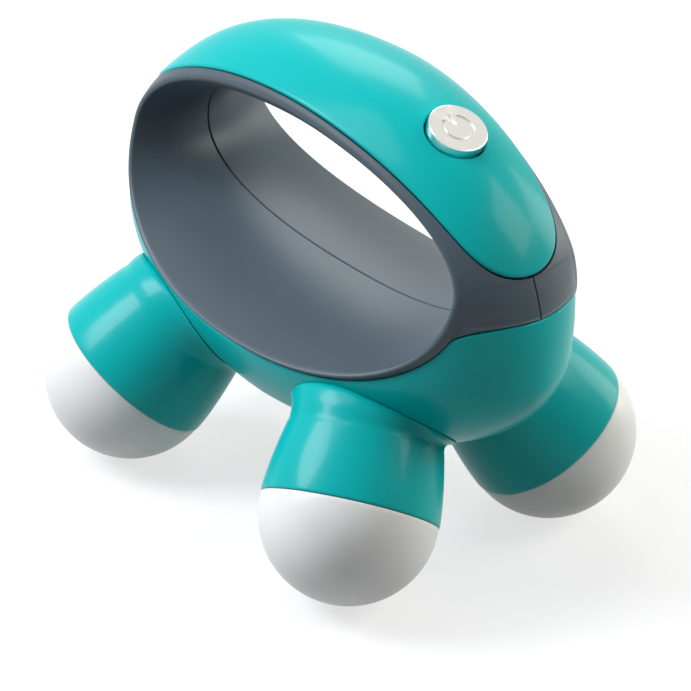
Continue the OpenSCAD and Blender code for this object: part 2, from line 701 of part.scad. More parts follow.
module leg() {
    in_r = leg_radius(web_d) - leg_t;
    web_top = web_d + web_t;
    boss_top = leg_seat_t - 0.6;
    boss_low = leg_bore_low - 1;
    bore_r = leg_screw_d / 2 + screw_gap;
    color(teal) {
        rotate_extrude() polygon(concat(
            [for (i = [0 : 6]) let (t = tube_top * i / 6) [leg_radius(t), t]],
            [[leg_radius(tube_top) - leg_t, tube_top], [leg_radius(web_top) - leg_t, web_top],
             [leg_boss_r, web_top], [leg_boss_r, boss_top], [bore_r, boss_top], [bore_r, leg_bore_low],
             [0, leg_bore_low], [0, boss_low], [leg_boss_r, boss_low], [leg_boss_r, web_d], [in_r, web_d]],
            [for (i = [4 : -1 : 0]) let (t = web_d * i / 5) [leg_radius(t) - leg_t, t]]));
        sweep_ring([for (i = [0 : shoulder_facets - 1]) shoulder_ring(360 * i / shoulder_facets)]);
    }
}
module leg_back_right() {
    at_leg() leg();
}
module leg_back_left() {
    mirror([1, 0, 0]) at_leg() leg();
}
module leg_front_right() {
    mirror([0, 1, 0]) at_leg() leg();
}
module leg_front_left() {
    mirror([1, 0, 0]) mirror([0, 1, 0]) at_leg() leg();
}

// Dome tip with a straight band and a collar that plugs into the leg
module tip() {
    collar_r = leg_radius(collar_d) - leg_t - collar_gap;
    over = dome_r + 1;
    color(white) difference() {
        union() {
            translate([0, 0, -tip_band]) difference() {
                sphere(r = dome_r);
                cylinder(r = over, h = over);
            }
            translate([0, 0, -tip_band]) cylinder(r = dome_r, h = tip_band - tip_gap);
            translate([0, 0, -tip_band]) cylinder(r = collar_r, h = tip_band + collar_d);
        }
        translate([0, 0, -tip_band]) difference() {
            sphere(r = dome_r - tip_t);
            cylinder(r = over, h = over);
        }
        translate([0, 0, -tip_band - 1]) cylinder(r = collar_r - tip_t, h = tip_band + collar_d + 2);
    }
}
module tip_back_right() {
    at_leg() tip();
}
module tip_back_left() {
    mirror([1, 0, 0]) at_leg() tip();
}
module tip_front_right() {
    mirror([0, 1, 0]) at_leg() tip();
}
module tip_front_left() {
    mirror([1, 0, 0]) mirror([0, 1, 0]) at_leg() tip();
}

// Power button: a hollow cap with a rounded edge, a flange, a stem and an engraved power symbol
module power_button() {
    cap_in_r = button_r - button_t;
    cap_in_top = button_up - button_t;
    opening = symbol_r;
    bar = [2.5, symbol_w, 1];
    bar_end = symbol_r + 0.3;
    floor_s = button_up - symbol_depth;
    color(chrome) at_button() difference() {
        union() {
            rotate_extrude() polygon(concat(
                [[cap_in_r, -flange_s - flange_t], [flange_r, -flange_s - flange_t], [flange_r, -flange_s],
                 [button_r, -flange_s]],
                [for (g = [0 : 15 : 90]) [button_r - button_round + button_round * cos(g),
                                          button_up - button_round + button_round * sin(g)]],
                [[0, button_up], [0, cap_in_top], [cap_in_r, cap_in_top]]));
            translate([0, 0, -stem_end]) cylinder(r = stem_r, h = stem_end + cap_in_top + 0.2);
        }
        translate([0, 0, floor_s]) difference() {
            cylinder(r = symbol_r + symbol_w / 2, h = 1);
            translate([0, 0, -1]) cylinder(r = symbol_r - symbol_w / 2, h = 3);
            translate([-symbol_r, 0, 0]) cube([2 * symbol_r, opening, 4], center = true);
        }
        translate([-bar_end, -symbol_w / 2, floor_s]) cube(bar);
    }
}
switch_floor = 0.4;
module switch_plunger() {
    spare = 0.2;
    plunger_l = board_s - switch_floor - button_travel - spare - stem_end;
    color(black) at_button() translate([0, 0, -stem_end - plunger_l]) cylinder(r = stem_r, h = plunger_l);
}
module switch_body() {
    color(black) at_button() difference() {
        translate([-switch_w / 2, -switch_w / 2, -board_s]) cube([switch_w, switch_w, switch_h]);
        translate([0, 0, switch_floor - board_s]) cylinder(r = stem_r + 0.1, h = switch_h);
    }
}
module switch_board() {
    reach = board_screw_u + 2;
    color(green) at_button() difference() {
        translate([-reach, -board_w / 2, -board_s - board_t]) cube([2 * reach, board_w, board_t]);
        board_screw_places() translate([0, 0, -board_s - board_t - 1])
            cylinder(d = small_screw_d + 2 * screw_gap, h = board_t + 2);
    }
}

// Battery tray: two side walls, two end walls, a roof over the cells and four feet
tray_low = cell_z - cell_d / 2 - 5;
tray_side = tray_end + tray_t;
module battery_tray() {
    roof_y = cell_end - 6.25;
    foot_z = belly_z + base_t + 0.8;
    foot = [1.4, 2, tray_low + 1.2 - foot_z];
    wall_top = cell_z + 2.95;
    right = [[0, tray_low], [hinge_y - 2.8, tray_low], [hinge_y - 2.8, hinge_z + 2.4],
             [hinge_y + 1.7, hinge_z + 2.4], [tray_side - 2.15, cell_z - 3.15], [tray_side, cell_z + 0.55],
             [tray_side, wall_top], [tray_side - 2.85, wall_top + 1.6], [roof_y, tray_top], [0, tray_top]];
    left = [for (i = [len(right) - 2 : -1 : 1]) [-right[i][0], right[i][1]]];
    color(black) difference() {
        union() {
            on_both_x() translate([tray_in, 0, 0]) rotate([90, 0, 90])
                linear_extrude(tray_t) polygon(concat(right, left));
            translate([-tray_out, -roof_y, roof_z]) cube([2 * tray_out, 2 * roof_y, tray_t]);
            on_both_y() translate([-tray_out, tray_end, cell_z - 0.25])
                cube([2 * tray_out, tray_t, wall_top - cell_z + 0.25]);
            in_all_corners() translate([tray_in, 9, foot_z]) cube(foot);
        }
        on_both_x() translate([tray_in - 1, plate_y - 0.2, cell_z + 0.15])
            cube([tray_t + 2, plate_t + 0.25, 2.2]);
    }
}

// AAA cell along Y, its nub towards +Y
module cell() {
    nub_h = 0.8;
    nub_r = 1.9;
    body_l = cell_l - nub_h;
    rotate([-90, 0, 0]) {
        translate([0, 0, -cell_l / 2]) cylinder(d = cell_d, h = body_l);
        translate([0, 0, cell_l / 2 - nub_h]) cylinder(r = nub_r, h = nub_h);
    }
}
module battery_left() {
    color(metal) translate([-cell_pitch / 2, 0, cell_z]) cell();
}
module battery_right() {
    color(metal) translate([cell_pitch / 2, 0, cell_z]) mirror([0, 1, 0]) cell();
}

// Contact springs at the cells' flat ends, contact plates behind springs and nubs
module contact_springs() {
    turns = 2.25;
    steps = 12;
    start = cell_end + spring_wire_r + 0.05;
    run = plate_y - start - spring_wire_r - 0.05;
    coil = [for (i = [0 : turns * steps])
        let (g = 360 * i / steps) [spring_r * cos(g), start + run * i / (turns * steps), spring_r * sin(g)]];
    color(metal) {
        translate([cell_pitch / 2, 0, cell_z]) tube(coil, spring_wire_r, [0, 1, 0], 6);
        translate([-cell_pitch / 2, 0, cell_z]) mirror([0, 1, 0]) tube(coil, spring_wire_r, [0, 1, 0], 6);
    }
}
module contact_plates() {
    low = cell_z - 1.65;
    high = cell_z + 2.85;
    inner = 1;
    outer_x = tray_in - 1;
    tab_x = tray_out + 1.4;
    dimple_r = 1.5;
    gap = contact_room - 0.05;
    color(brass) {
        on_both_x() {
            translate([inner, plate_y, low]) cube([outer_x - inner, plate_t, high - low]);
            translate([inner, plate_y, cell_z + 0.45]) cube([tab_x - inner, plate_t, 1.6]);
        }
        translate([-outer_x, -plate_y - plate_t, low]) cube([2 * outer_x, plate_t, high - low]);
        for (k = [[-cell_pitch / 2, plate_y], [cell_pitch / 2, -plate_y + gap]])
            translate([k[0], k[1], cell_z]) rotate([90, 0, 0]) cylinder(r = dimple_r, h = gap);
    }
}

// Motor: a can with two flats, its shaft along X towards the ring's end
motor_end = -motor_x - motor_l;
weight_x = motor_end - nose_l - weight_gap - weight_l;
module can_shape(grow, x, l) {
    intersection() {
        bar_x(x, 0, motor_z, motor_d / 2 + grow, l);
        translate([x - 1, -motor_d, motor_z - motor_flat / 2 - grow])
            cube([l + 2, 2 * motor_d, motor_flat + 2 * grow]);
    }
}
module motor_can() {
    color(metal) difference() {
        union() {
            can_shape(0, motor_end, motor_l);
            bar_x(motor_end - nose_l, 0, motor_z, 2.5, nose_l + 1);
            on_both_y() translate([-motor_x - 0.5, 5, motor_z + 0.2]) cube([1.9, 0.8, 0.8]);
        }
        bar_x(motor_end - 2, 0, motor_z, shaft_r + shaft_fit, 12);
    }
}
module motor_shaft() {
    shaft_l = 16;
    color(chrome) bar_x(weight_x - 0.6, 0, motor_z, shaft_r, shaft_l);
}
module eccentric_weight() {
    hub_r = 2.4;
    color(metal) difference() {
        union() {
            bar_x(weight_x, 0, motor_z, hub_r, weight_l);
            difference() {
                bar_x(weight_x, 0, motor_z, weight_r, weight_l);
                translate([weight_x - 1, -weight_r - 1, motor_z])
                    cube([weight_l + 2, 2 * weight_r + 2, weight_r + 1]);
            }
        }
        bar_x(weight_x - 1, 0, motor_z, shaft_r, weight_l + 2);
    }
}
cradle_w = strap_screw_y + 1.4;
module strap_screw_places() {
    on_both_y() translate([-cradle_x, strap_screw_y, 0]) children();
}
module motor_cradle() {
    color(black) difference() {
        translate([-cradle_x - cradle_l / 2, -cradle_w, cradle_z])
            cube([cradle_l, 2 * cradle_w, motor_z - 0.2 - cradle_z]);
        can_shape(motor_gap, motor_end - 1, motor_l + 2);
        strap_screw_places() translate([0, 0, cradle_z - 1])
            cylinder(d = small_screw_d + 2 * screw_gap, h = motor_z - cradle_z + 2);
    }
}
ear_t = 1.4;
module motor_strap() {
    strap_l = cradle_l - 1.4;
    x = -cradle_x - strap_l / 2;
    color(metal) difference() {
        union() {
            can_shape(motor_gap + strap_t, x, strap_l);
            translate([x, -cradle_w, motor_z]) cube([strap_l, 2 * cradle_w, ear_t]);
        }
        can_shape(motor_gap, motor_end - 1, motor_l + 2);
        translate([x - 1, -cradle_w - 1, motor_z - 20]) cube([strap_l + 2, 2 * cradle_w + 2, 20]);
        strap_screw_places() translate([0, 0, motor_z - 1])
            cylinder(d = small_screw_d + 2 * screw_gap, h = ear_t + 2);
    }
}

// Wires inside the shell: battery to switch, switch to motor, motor to battery
function cavity(a, b, k) = mix(outer(a, b), tunnel(a, abs(sin(b))), k);
function by_button(u, y, d) =
    button_p + [u * button_n[2] - d * button_n[0], y, -u * button_n[0] - d * button_n[2]];
function in_cavity(stops) = [for (p = stops) cavity(p[0], p[1], p[2])];
board_wire_d = board_s - wire_r - 0.1;
lead_end = board_screw_u - 0.7;
pad = [-motor_x + 0.8, 6.5, motor_z + 0.6];
tab = [tray_out + 1.9, plate_y - 0.9, cell_z + 1.35];
over_tray = tray_top + 1.55;
switch_lead = concat(
    [by_button(lead_end, 3.2, board_wire_d), by_button(lead_end + 3.4, 3.2, board_wire_d - 0.15)],
    in_cavity([[40.5, 13.5, 0.48], [33.5, 13.5, 0.53], [24, 13.2, 0.43], [15.3, 11.6, 0.47],
               [5.8, 12.2, 0.53], [-10, 15.2, 0.61], [-24.7, 20.7, 0.67], [-43.8, 28.2, 0.7]]),
    [tab + [3.1, -3.9, 1.2], tab]);
motor_lead = concat(
    [by_button(lead_end, -3.2, board_wire_d), by_button(lead_end + 3.4, -3.2, board_wire_d - 0.15)],
    [for (p = in_cavity([[40.5, 13.5, 0.48], [33.5, 13.5, 0.53], [24, 13.2, 0.43], [15.3, 11.6, 0.47],
                         [5.8, 12.2, 0.53], [-8, 15.4, 0.65], [-23, 18.5, 0.71], [-39.6, 20.4, 0.81]]))
        [p[0], -p[1], p[2]]],
    [[tray_out + 3, -9.5, over_tray], [5, -7, over_tray], [-5, -7, over_tray],
     [-tray_out - 0.5, -9.4, over_tray], [pad[0] + 1.2, -9.6, pad[2] + 3.9], [pad[0], -8.8, pad[2] + 2.2],
     [pad[0], -7.4, pad[2] + 0.6], [pad[0], -pad[1], pad[2]]]);
return_lead = [[-tab[0], tab[1], tab[2]], [-tab[0] - 1.6, tab[1] - 1.9, tab[2] + 0.6],
               [pad[0] + 0.4, pad[1] + 9.5, pad[2] - 0.4], [pad[0], pad[1] + 4, pad[2] + 0.6],
               [pad[0], pad[1] + 1.5, pad[2] + 0.4], pad];
module wires() {
    away = [0.8, 0.5, 0.3];
    color(red) {
        tube(switch_lead, wire_r, away);
        tube(motor_lead, wire_r, away);
        tube(return_lead, wire_r, away);
    }
}

// Screw along Z: head from 0 up to h, shank from 0 down to l, with a cross recess
module screw(d, head_d, h, l) {
    slot = [head_d * 0.6, d * 0.25, h * 0.5];
    difference() {
        union() {
            cylinder(d = head_d, h = h);
            translate([0, 0, -l]) cylinder(d = d, h = l);
        }
        for (g = [0, 90]) rotate(g) translate([0, 0, h]) cube([slot[0], slot[1], 2 * slot[2]], center = true);
    }
}
module housing_screws() {
    color(metal) in_all_corners() translate([screw_x, screw_y, recess_z - 0.05]) mirror([0, 0, 1])
        screw(screw_d, screw_head_d, 1.6, post_z + post_bore - recess_z - 1.3);
}
module leg_screws() {
    color(metal) in_all_corners() at_leg() translate([0, 0, leg_head_t + 0.05])
        screw(leg_screw_d, leg_head_d, 2, leg_head_t - leg_bore_low - 0.4);
}
module board_screws() {
    color(metal) at_button() board_screw_places() translate([0, 0, -board_s - board_t - 0.02])
        mirror([0, 0, 1]) screw(small_screw_d, small_head_d, small_head_h, 4.5);
}
module strap_screws() {
    color(metal) strap_screw_places() translate([0, 0, motor_z + ear_t + 0.02])
        screw(small_screw_d, small_head_d, 1.1, motor_z + ear_t - cradle_z + 2.3);
}

top_cover();
grip_liner_front();
grip_liner_back();
base_shell();
leg_front_left();
leg_front_right();
leg_back_left();
leg_back_right();
tip_front_left();
tip_front_right();
tip_back_left();
tip_back_right();
power_button();
switch_plunger();
switch_body();
switch_board();
battery_door();
battery_tray();
battery_left();
battery_right();
contact_springs();
contact_plates();
motor_can();
motor_shaft();
eccentric_weight();
motor_cradle();
motor_strap();
wires();
housing_screws();
leg_screws();
board_screws();
strap_screws();
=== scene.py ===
"""A handheld massager: a ring-shaped hand grip over a bowl on four splayed legs with white dome tips."""
import math
import bmesh
import bpy
import numpy as np
from mathutils import Matrix, Vector
from mathutils.bvhtree import BVHTree


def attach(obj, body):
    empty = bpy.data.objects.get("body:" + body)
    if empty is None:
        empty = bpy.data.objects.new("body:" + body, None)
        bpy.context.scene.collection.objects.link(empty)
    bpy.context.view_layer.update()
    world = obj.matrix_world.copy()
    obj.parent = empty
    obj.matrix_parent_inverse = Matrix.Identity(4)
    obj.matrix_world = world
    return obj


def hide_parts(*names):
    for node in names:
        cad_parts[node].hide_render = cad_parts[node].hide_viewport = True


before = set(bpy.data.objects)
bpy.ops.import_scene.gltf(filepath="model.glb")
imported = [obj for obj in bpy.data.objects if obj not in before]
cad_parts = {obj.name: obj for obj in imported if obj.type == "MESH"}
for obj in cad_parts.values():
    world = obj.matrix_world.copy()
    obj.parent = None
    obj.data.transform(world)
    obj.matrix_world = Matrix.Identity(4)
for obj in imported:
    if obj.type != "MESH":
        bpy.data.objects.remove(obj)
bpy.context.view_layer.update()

MM = 0.001
# Radius, in mm, of a lathed profile's point on its axis
AXIS = 1e-4

# The ring's surfaces, in mm: the outer one in the mid-plane, the rim, its half width, the tunnel's waist
RING_HALF, RING_Z, CROWN_H, CROWN_N, BELLY_H, BELLY_N = 58.3, 48.9, 48.5, 2.19, 32.0, 1.72
RIM_HALF, RIM_Z, RIM_UP, RIM_DOWN, RIM_UP_N, RIM_DOWN_N = 48.0, 67.75, 20.9, 24.25, 1.86, 2.27
W_TOP, W_END, W_LOW, SWELL = 16.3, 15.9, 29.3, 3.3
WAIST_HALF, WAIST_H, WAIST_Z, WAIST_N = 44.3, 15.55, 65.8, 2.34
# The outer surface's lip beyond the rim at the crown, the belly and the ends, and how far the ends lie inward
LIP_CROWN, LIP_BELLY, LIP_END, LIP_IN = 2.9, 1.1, 2.1, 2.0
# Exponents of the section's height and width at the crown, the ends and the belly
HEIGHT_N, WIDTH_N = (1.0, 1.25, 1.44), (2.0, 1.85, 1.94)
# The flat under the belly, and how softly the surface runs into it
BELLY_Z, BELLY_BLEND = 23.7, 3.0
# The cover's tip as a ring angle, its outline's exponent, its share of the width, and how far it stands proud
COVER_TIP, COVER_N, COVER_SHARE, PROUD = 26.9, 11.0, 0.98, 0.3
# The bowl's edge as a ring angle, its dip towards the rim, the gap there, and the bowl's last section angle
BASE_EDGE, BASE_DIP, BASE_DIP_N, BASE_GAP, BOWL_B = 17.0, 3.5, 3.5, 0.35, 86.0

# The rim's half width over its height is w_mid + w_1 h + w_2 h^2
w_mid = W_END + SWELL
slope_up = (W_TOP - w_mid) / RIM_UP
slope_down = -(W_LOW - w_mid) / RIM_DOWN
w_2 = (slope_up - slope_down) / (RIM_UP + RIM_DOWN)
w_1 = slope_up - w_2 * RIM_UP


def cosd(a):
    return np.cos(np.radians(a))


def sind(a):
    return np.sin(np.radians(a))


def mix(p, q, k):
    return p + (q - p) * k


def sup(c, s, n):
    """Radius of a unit superellipse with exponent n, along the direction (c, s)."""
    return (np.abs(c) ** n + np.abs(s) ** n) ** (-1 / n)


def unit(v):
    return v / np.linalg.norm(v, axis=-1, keepdims=True)


def mid(a):
    """X and Z of the outer surface in the mid-plane, at ring angle a."""
    c, s = cosd(a), sind(a)
    high = s >= 0
    r = sup(c, s, np.where(high, CROWN_N, BELLY_N))
    return RING_HALF * r * c, RING_Z + np.where(high, CROWN_H, BELLY_H) * r * s


def rim(t, d=0.0, e=0.0):
    """The rim at its own angle t, widened by d and moved inward by e."""
    c, s = cosd(t), sind(t)
    high = s >= 0
    h = np.where(high, RIM_UP, RIM_DOWN)
    r = sup(c, s, np.where(high, RIM_UP_N, RIM_DOWN_N))
    y = w_mid - SWELL * (r * c) ** 2 + w_1 * h * r * s + w_2 * (h * r * s) ** 2 - e
    return np.stack([(RIM_HALF + d) * r * c, y, RIM_Z + (h + d) * r * s], -1)


def edge(t):
    """Where the outer surface ends, a lip's width beyond the rim."""
    c2 = cosd(t) ** 2
    return rim(t, mix(np.where(sind(t) >= 0, LIP_CROWN, LIP_BELLY), LIP_END, c2), LIP_IN * c2)


def rim_angle(a):
    x, z = mid(a)
    return np.degrees(np.arctan2((z - RIM_Z) / RIM_UP, x / RIM_HALF))


def section_n(powers, s):
    """A section's exponent where the ring angle's sine is s."""
    crown, end, belly = powers
    return np.where(s >= 0, mix(end, crown, s), mix(end, belly, -s))


def outer(a, b):
    """The outer surface at ring angle a and section angle b, 0 in the mid-plane and 90 at the rim."""
    a, b = np.broadcast_arrays(np.asarray(a, float), np.asarray(b, float))
    x, z = mid(a)
    e, s = edge(rim_angle(a)), sind(a)
    f = np.maximum(cosd(b), 0) ** (2 / section_n(HEIGHT_N, s))
    y = np.sign(b) * e[..., 1] * np.abs(sind(b)) ** (2 / section_n(WIDTH_N, s))
    h = mix(e[..., 2], z, f) - BELLY_Z
    level = BELLY_Z + (h + np.sqrt(h * h + BELLY_BLEND ** 2)) / 2
    return np.stack([mix(e[..., 0], x, f), y, level], -1)


def outer_normal(a, b, step_a=1, step_b=2, last_b=84):
    """The outer surface's normal, from differences; beyond last_b it stays as it is there."""
    a, b = np.broadcast_arrays(np.asarray(a, float), np.asarray(b, float))
    c = np.clip(b, -last_b, last_b)
    along_b = outer(a, c + step_b) - outer(a, c - step_b)
    along_a = outer(a + step_a, c) - outer(a - step_a, c)
    return unit(np.cross(along_b, along_a))


def inset(a, b, d):
    """The outer surface moved inward by d."""
    return outer(a, b) - np.asarray(d, float)[..., None] * outer_normal(a, b)


def share_to_b(share, a):
    """The section angle at which the outer surface has that share of its half width."""
    return np.degrees(np.arcsin(np.clip(share, 0, 1) ** (section_n(WIDTH_N, sind(a)) / 2)))


def tunnel(a, s):
    """The tunnel's skin at ring angle a, s from 0 in the mid-plane to 1 at the rim."""
    t = rim_angle(a)
    c, sn = cosd(t), sind(t)
    r = sup(c, sn, WAIST_N)
    lip = rim(t)
    return np.stack([mix(WAIST_HALF * r * c, lip[..., 0], s * s), s * lip[..., 1],
                     mix(WAIST_Z + WAIST_H * r * sn, lip[..., 2], s * s)], -1)


# Mesh helpers

def link(name, data):
    """A new object in the scene."""
    obj = bpy.data.objects.new(name, data)
    bpy.context.scene.collection.objects.link(obj)
    return obj


def new_object(name, verts_mm, faces, smooth=True, weld=2e-6, tiny=1e-7):
    """An object of vertices in mm and faces; those closer than weld, in m, become one."""
    mesh = bpy.data.meshes.new(name)
    mesh.from_pydata((np.asarray(verts_mm) * MM).tolist(), [], [list(map(int, f)) for f in faces])
    bm = bmesh.new()
    bm.from_mesh(mesh)
    bmesh.ops.remove_doubles(bm, verts=bm.verts, dist=weld)
    bmesh.ops.dissolve_degenerate(bm, edges=bm.edges, dist=tiny)
    bmesh.ops.recalc_face_normals(bm, faces=bm.faces)
    bm.to_mesh(mesh)
    bm.free()
    if smooth:
        mesh.polygons.foreach_set("use_smooth", [True] * len(mesh.polygons))
    return link(name, mesh)


def grid_faces(rows, cols, wrap_rows=False, wrap_cols=False):
    """The quads of a grid; wrapping joins its last row or column to its first."""
    r = np.arange(rows if wrap_rows else rows - 1)
    c = np.arange(cols if wrap_cols else cols - 1)
    i, j = np.meshgrid(r, c, indexing="ij")
    i2, j2 = (i + 1) % rows, (j + 1) % cols
    return np.stack([i * cols + j, i2 * cols + j, i2 * cols + j2, i * cols + j2], -1).reshape(-1, 4).tolist()


def sheet(name, points, wrap_rows=False, wrap_cols=False, caps=False, smooth=True):
    """A mesh over a grid of points [rows, cols, 3], in mm."""
    rows, cols = points.shape[:2]
    faces = grid_faces(rows, cols, wrap_rows, wrap_cols)
    if caps:
        faces += [list(range(cols)), [(rows - 1) * cols + j for j in range(cols)]]
    return new_object(name, points.reshape(-1, 3), faces, smooth)


def place(points, matrix):
    """Points [..., 3] in mm through a 4x4 matrix in mm."""
    m = np.array(matrix)
    return points @ m[:3, :3].T + m[:3, 3]


def lathe(profile, sides, matrix):
    """Grid of a profile [(r, z)] turned about Z and placed by matrix."""
    profile = np.asarray(profile, float)
    g = np.arange(sides) * 360 / sides
    ring = np.stack([cosd(g)[:, None] * profile[:, 0], sind(g)[:, None] * profile[:, 0],
                     np.repeat(profile[None, :, 1], sides, 0)], -1)
    return place(ring, matrix)


def soften(points, times):
    """Corner cutting along axis 1 of a grid [rows, n, 3]; the ends stay."""
    for _ in range(times):
        q = 0.75 * points[:, :-1] + 0.25 * points[:, 1:]
        r = 0.25 * points[:, :-1] + 0.75 * points[:, 1:]
        inner = np.stack([q, r], 2).reshape(points.shape[0], -1, 3)
        points = np.concatenate([points[:, :1], inner, points[:, -1:]], 1)
    return points


def spline(points, per):
    """Catmull-Rom through points [..., n, k] along the second last axis, per steps a stretch."""
    p = np.concatenate([2 * points[..., :1, :] - points[..., 1:2, :], points,
                        2 * points[..., -1:, :] - points[..., -2:-1, :]], -2)
    out = []
    for i in range(points.shape[-2] - 1):
        p0, p1, p2, p3 = (p[..., i + k, :] for k in range(4))
        for j in range(per):
            u = j / per
            out.append(0.5 * (2 * p1 + (p2 - p0) * u + (2 * p0 - 5 * p1 + 4 * p2 - p3) * u * u
                              + (3 * p1 - p0 - 3 * p2 + p3) * u ** 3))
    out.append(points[..., -1, :])
    return np.stack(out, -2)


def bake(obj):
    """Puts the modifiers' result in place of the object's mesh."""
    new = bpy.data.meshes.new_from_object(obj.evaluated_get(bpy.context.evaluated_depsgraph_get()))
    obj.modifiers.clear()
    obj.data = new
    return obj


def unite(obj, *others, operation="UNION"):
    """Exact union, or another Boolean, of obj with solids that are used up."""
    for other in others:
        modifier = obj.modifiers.new("boolean", "BOOLEAN")
        modifier.operation, modifier.object, modifier.solver = operation, other, "EXACT"
        bake(obj)
        bpy.data.objects.remove(other)
    return obj


def cut(obj, cutter, operation="DIFFERENCE", on_surface=2e-5, same_way=0.93, crease=0.8):
    """Cuts obj; what is left of its old surface keeps its old normals, so that the gloss stays even."""
    mesh = obj.data
    mesh.calc_loop_triangles()
    co = np.array([v.co for v in mesh.vertices])
    nor = np.array([v.normal for v in mesh.vertices])
    tris = [tuple(t.vertices) for t in mesh.loop_triangles]
    tree = BVHTree.FromPolygons([Vector(c) for c in co], tris)

    def old_normal(point):
        """The old normal nearest to point, blended from the corners of its triangle."""
        hit, _, index, _ = tree.find_nearest(point)
        t = tris[index]
        a, b, c = (co[k] for k in t)
        v0, v1, v2 = b - a, c - a, np.array(hit) - a
        d00, d01, d11, d20, d21 = v0 @ v0, v0 @ v1, v1 @ v1, v2 @ v0, v2 @ v1
        den = d00 * d11 - d01 * d01
        if abs(den) < 1e-30:
            return nor[t[0]]
        wb, wc = (d11 * d20 - d01 * d21) / den, (d00 * d21 - d01 * d20) / den
        return (1 - wb - wc) * nor[t[0]] + wb * nor[t[1]] + wc * nor[t[2]]

    unite(obj, cutter, operation=operation)
    new = obj.data
    new.name = obj.name
    new.polygons.foreach_set("use_smooth", [True] * len(new.polygons))
    old = []
    for p in new.polygons:
        _, n, _, dist = tree.find_nearest(p.center)
        old.append(n is not None and dist < on_surface and abs(n.dot(p.normal)) > same_way)
    loops = [(0.0, 0.0, 0.0)] * len(new.loops)
    cache, sides = {}, {}
    for p in new.polygons:
        for k in p.edge_keys:
            sides.setdefault(k, []).append(p.index)
        if not old[p.index]:
            continue
        for li in p.loop_indices:
            vi = new.loops[li].vertex_index
            if vi not in cache:
                cache[vi] = old_normal(new.vertices[vi].co)
            n = cache[vi]
            if Vector(n).dot(p.normal) > 0.5:
                loops[li] = tuple(Vector(n).normalized())
    for e in new.edges:
        s = sides.get(e.key, [])
        if len(s) != 2:
            continue
        bend = new.polygons[s[0]].normal.dot(new.polygons[s[1]].normal)
        if old[s[0]] != old[s[1]] or (not old[s[0]] and bend < crease):
            e.use_edge_sharp = True
    new.normals_split_custom_set(loops)
    return obj


def rod_x(name, x0, x1, y, z, r, sides=64, chamfer=0.15, smooth=True):
    """A round rod along X with chamfered ends."""
    m = Matrix.Translation((x0, y, z)) @ Matrix.Rotation(math.pi / 2, 4, "Y")
    n = x1 - x0
    profile = [(AXIS, 0), (r - chamfer, 0), (r, chamfer), (r, n - chamfer), (r - chamfer, n), (AXIS, n)]
    return sheet(name, lathe(profile, sides, m), wrap_rows=True, smooth=smooth)


def block(name, low, high):
    """A box between two corners, in mm."""
    bm = bmesh.new()
    bmesh.ops.create_cube(bm, size=1)
    for v in bm.verts:
        v.co = Vector([mix(l, h, c + 0.5) * MM for l, h, c in zip(low, high, v.co)])
    mesh = bpy.data.meshes.new(name)
    bm.to_mesh(mesh)
    bm.free()
    return link(name, mesh)


def join(name, *objs):
    """One object of several, keeping each one's shading."""
    with bpy.context.temp_override(active_object=objs[0], selected_editable_objects=list(objs),
                                   selected_objects=list(objs)):
        bpy.ops.object.join()
    objs[0].name = objs[0].data.name = name
    return objs[0]


def bevelled(obj, width):
    """Rounds the sharp edges, and shades the result smooth by its faces' sizes."""
    m = obj.modifiers.new("edge", "BEVEL")
    m.width, m.segments, m.limit_method, m.angle_limit = width * MM, 2, "ANGLE", math.radians(30)
    n = obj.modifiers.new("shade", "WEIGHTED_NORMAL")
    n.keep_sharp = False
    obj.data.polygons.foreach_set("use_smooth", [True] * len(obj.data.polygons))
    return bake(obj)


# Frames of the button and the legs
BUTTON_A = 60.3
button_p = outer(BUTTON_A, 0.0)
button_n = outer_normal(BUTTON_A, 0.0)
at_button = Matrix.Translation(button_p) @ Matrix.Rotation(math.atan2(button_n[0], button_n[2]), 4, "Y")

LEG_TILT, LEG_TURN = 39.3, 57.3
DOME_R, TIP_BAND, TIP_GAP = 17.88, 1.15, 0.12
LEG_R, NECK_R, NECK_D, LEG_BOW = 18.0, 15.6, 15.4, 1.5
leg_p = np.array([34.0, 26.3, DOME_R + TIP_BAND * cosd(LEG_TILT)])
leg_u = np.array([-cosd(LEG_TILT) * cosd(LEG_TURN), -cosd(LEG_TILT) * sind(LEG_TURN), -sind(LEG_TILT)])
leg_v = np.array([sind(LEG_TURN), -cosd(LEG_TURN), 0.0])
leg_w = np.cross(leg_u, leg_v)
at_leg = Matrix([[*c] for c in np.stack([leg_u, leg_v, leg_w, leg_p], 1)] + [[0, 0, 0, 1]])
CORNERS = {"back_right": (1, 1), "back_left": (-1, 1), "front_right": (1, -1), "front_left": (-1, -1)}

# Top cover: the edge's bead, as distances in from the edge and heights above the skin
BEAD = ((0.62, 0.3), (0.42, 0.27), (0.26, 0.2), (0.13, 0.1), (0.04, -0.04), (0.0, -0.2), (0.0, -0.7),
        (0.0, -1.15), (0.1, -1.25), (0.4, -1.3))
BEAD_W, COVER_CORE, COVER_T = 0.85, 0.8, 1.7
HOLE_R, HOLE_CHAMFER = 6.25, 0.9


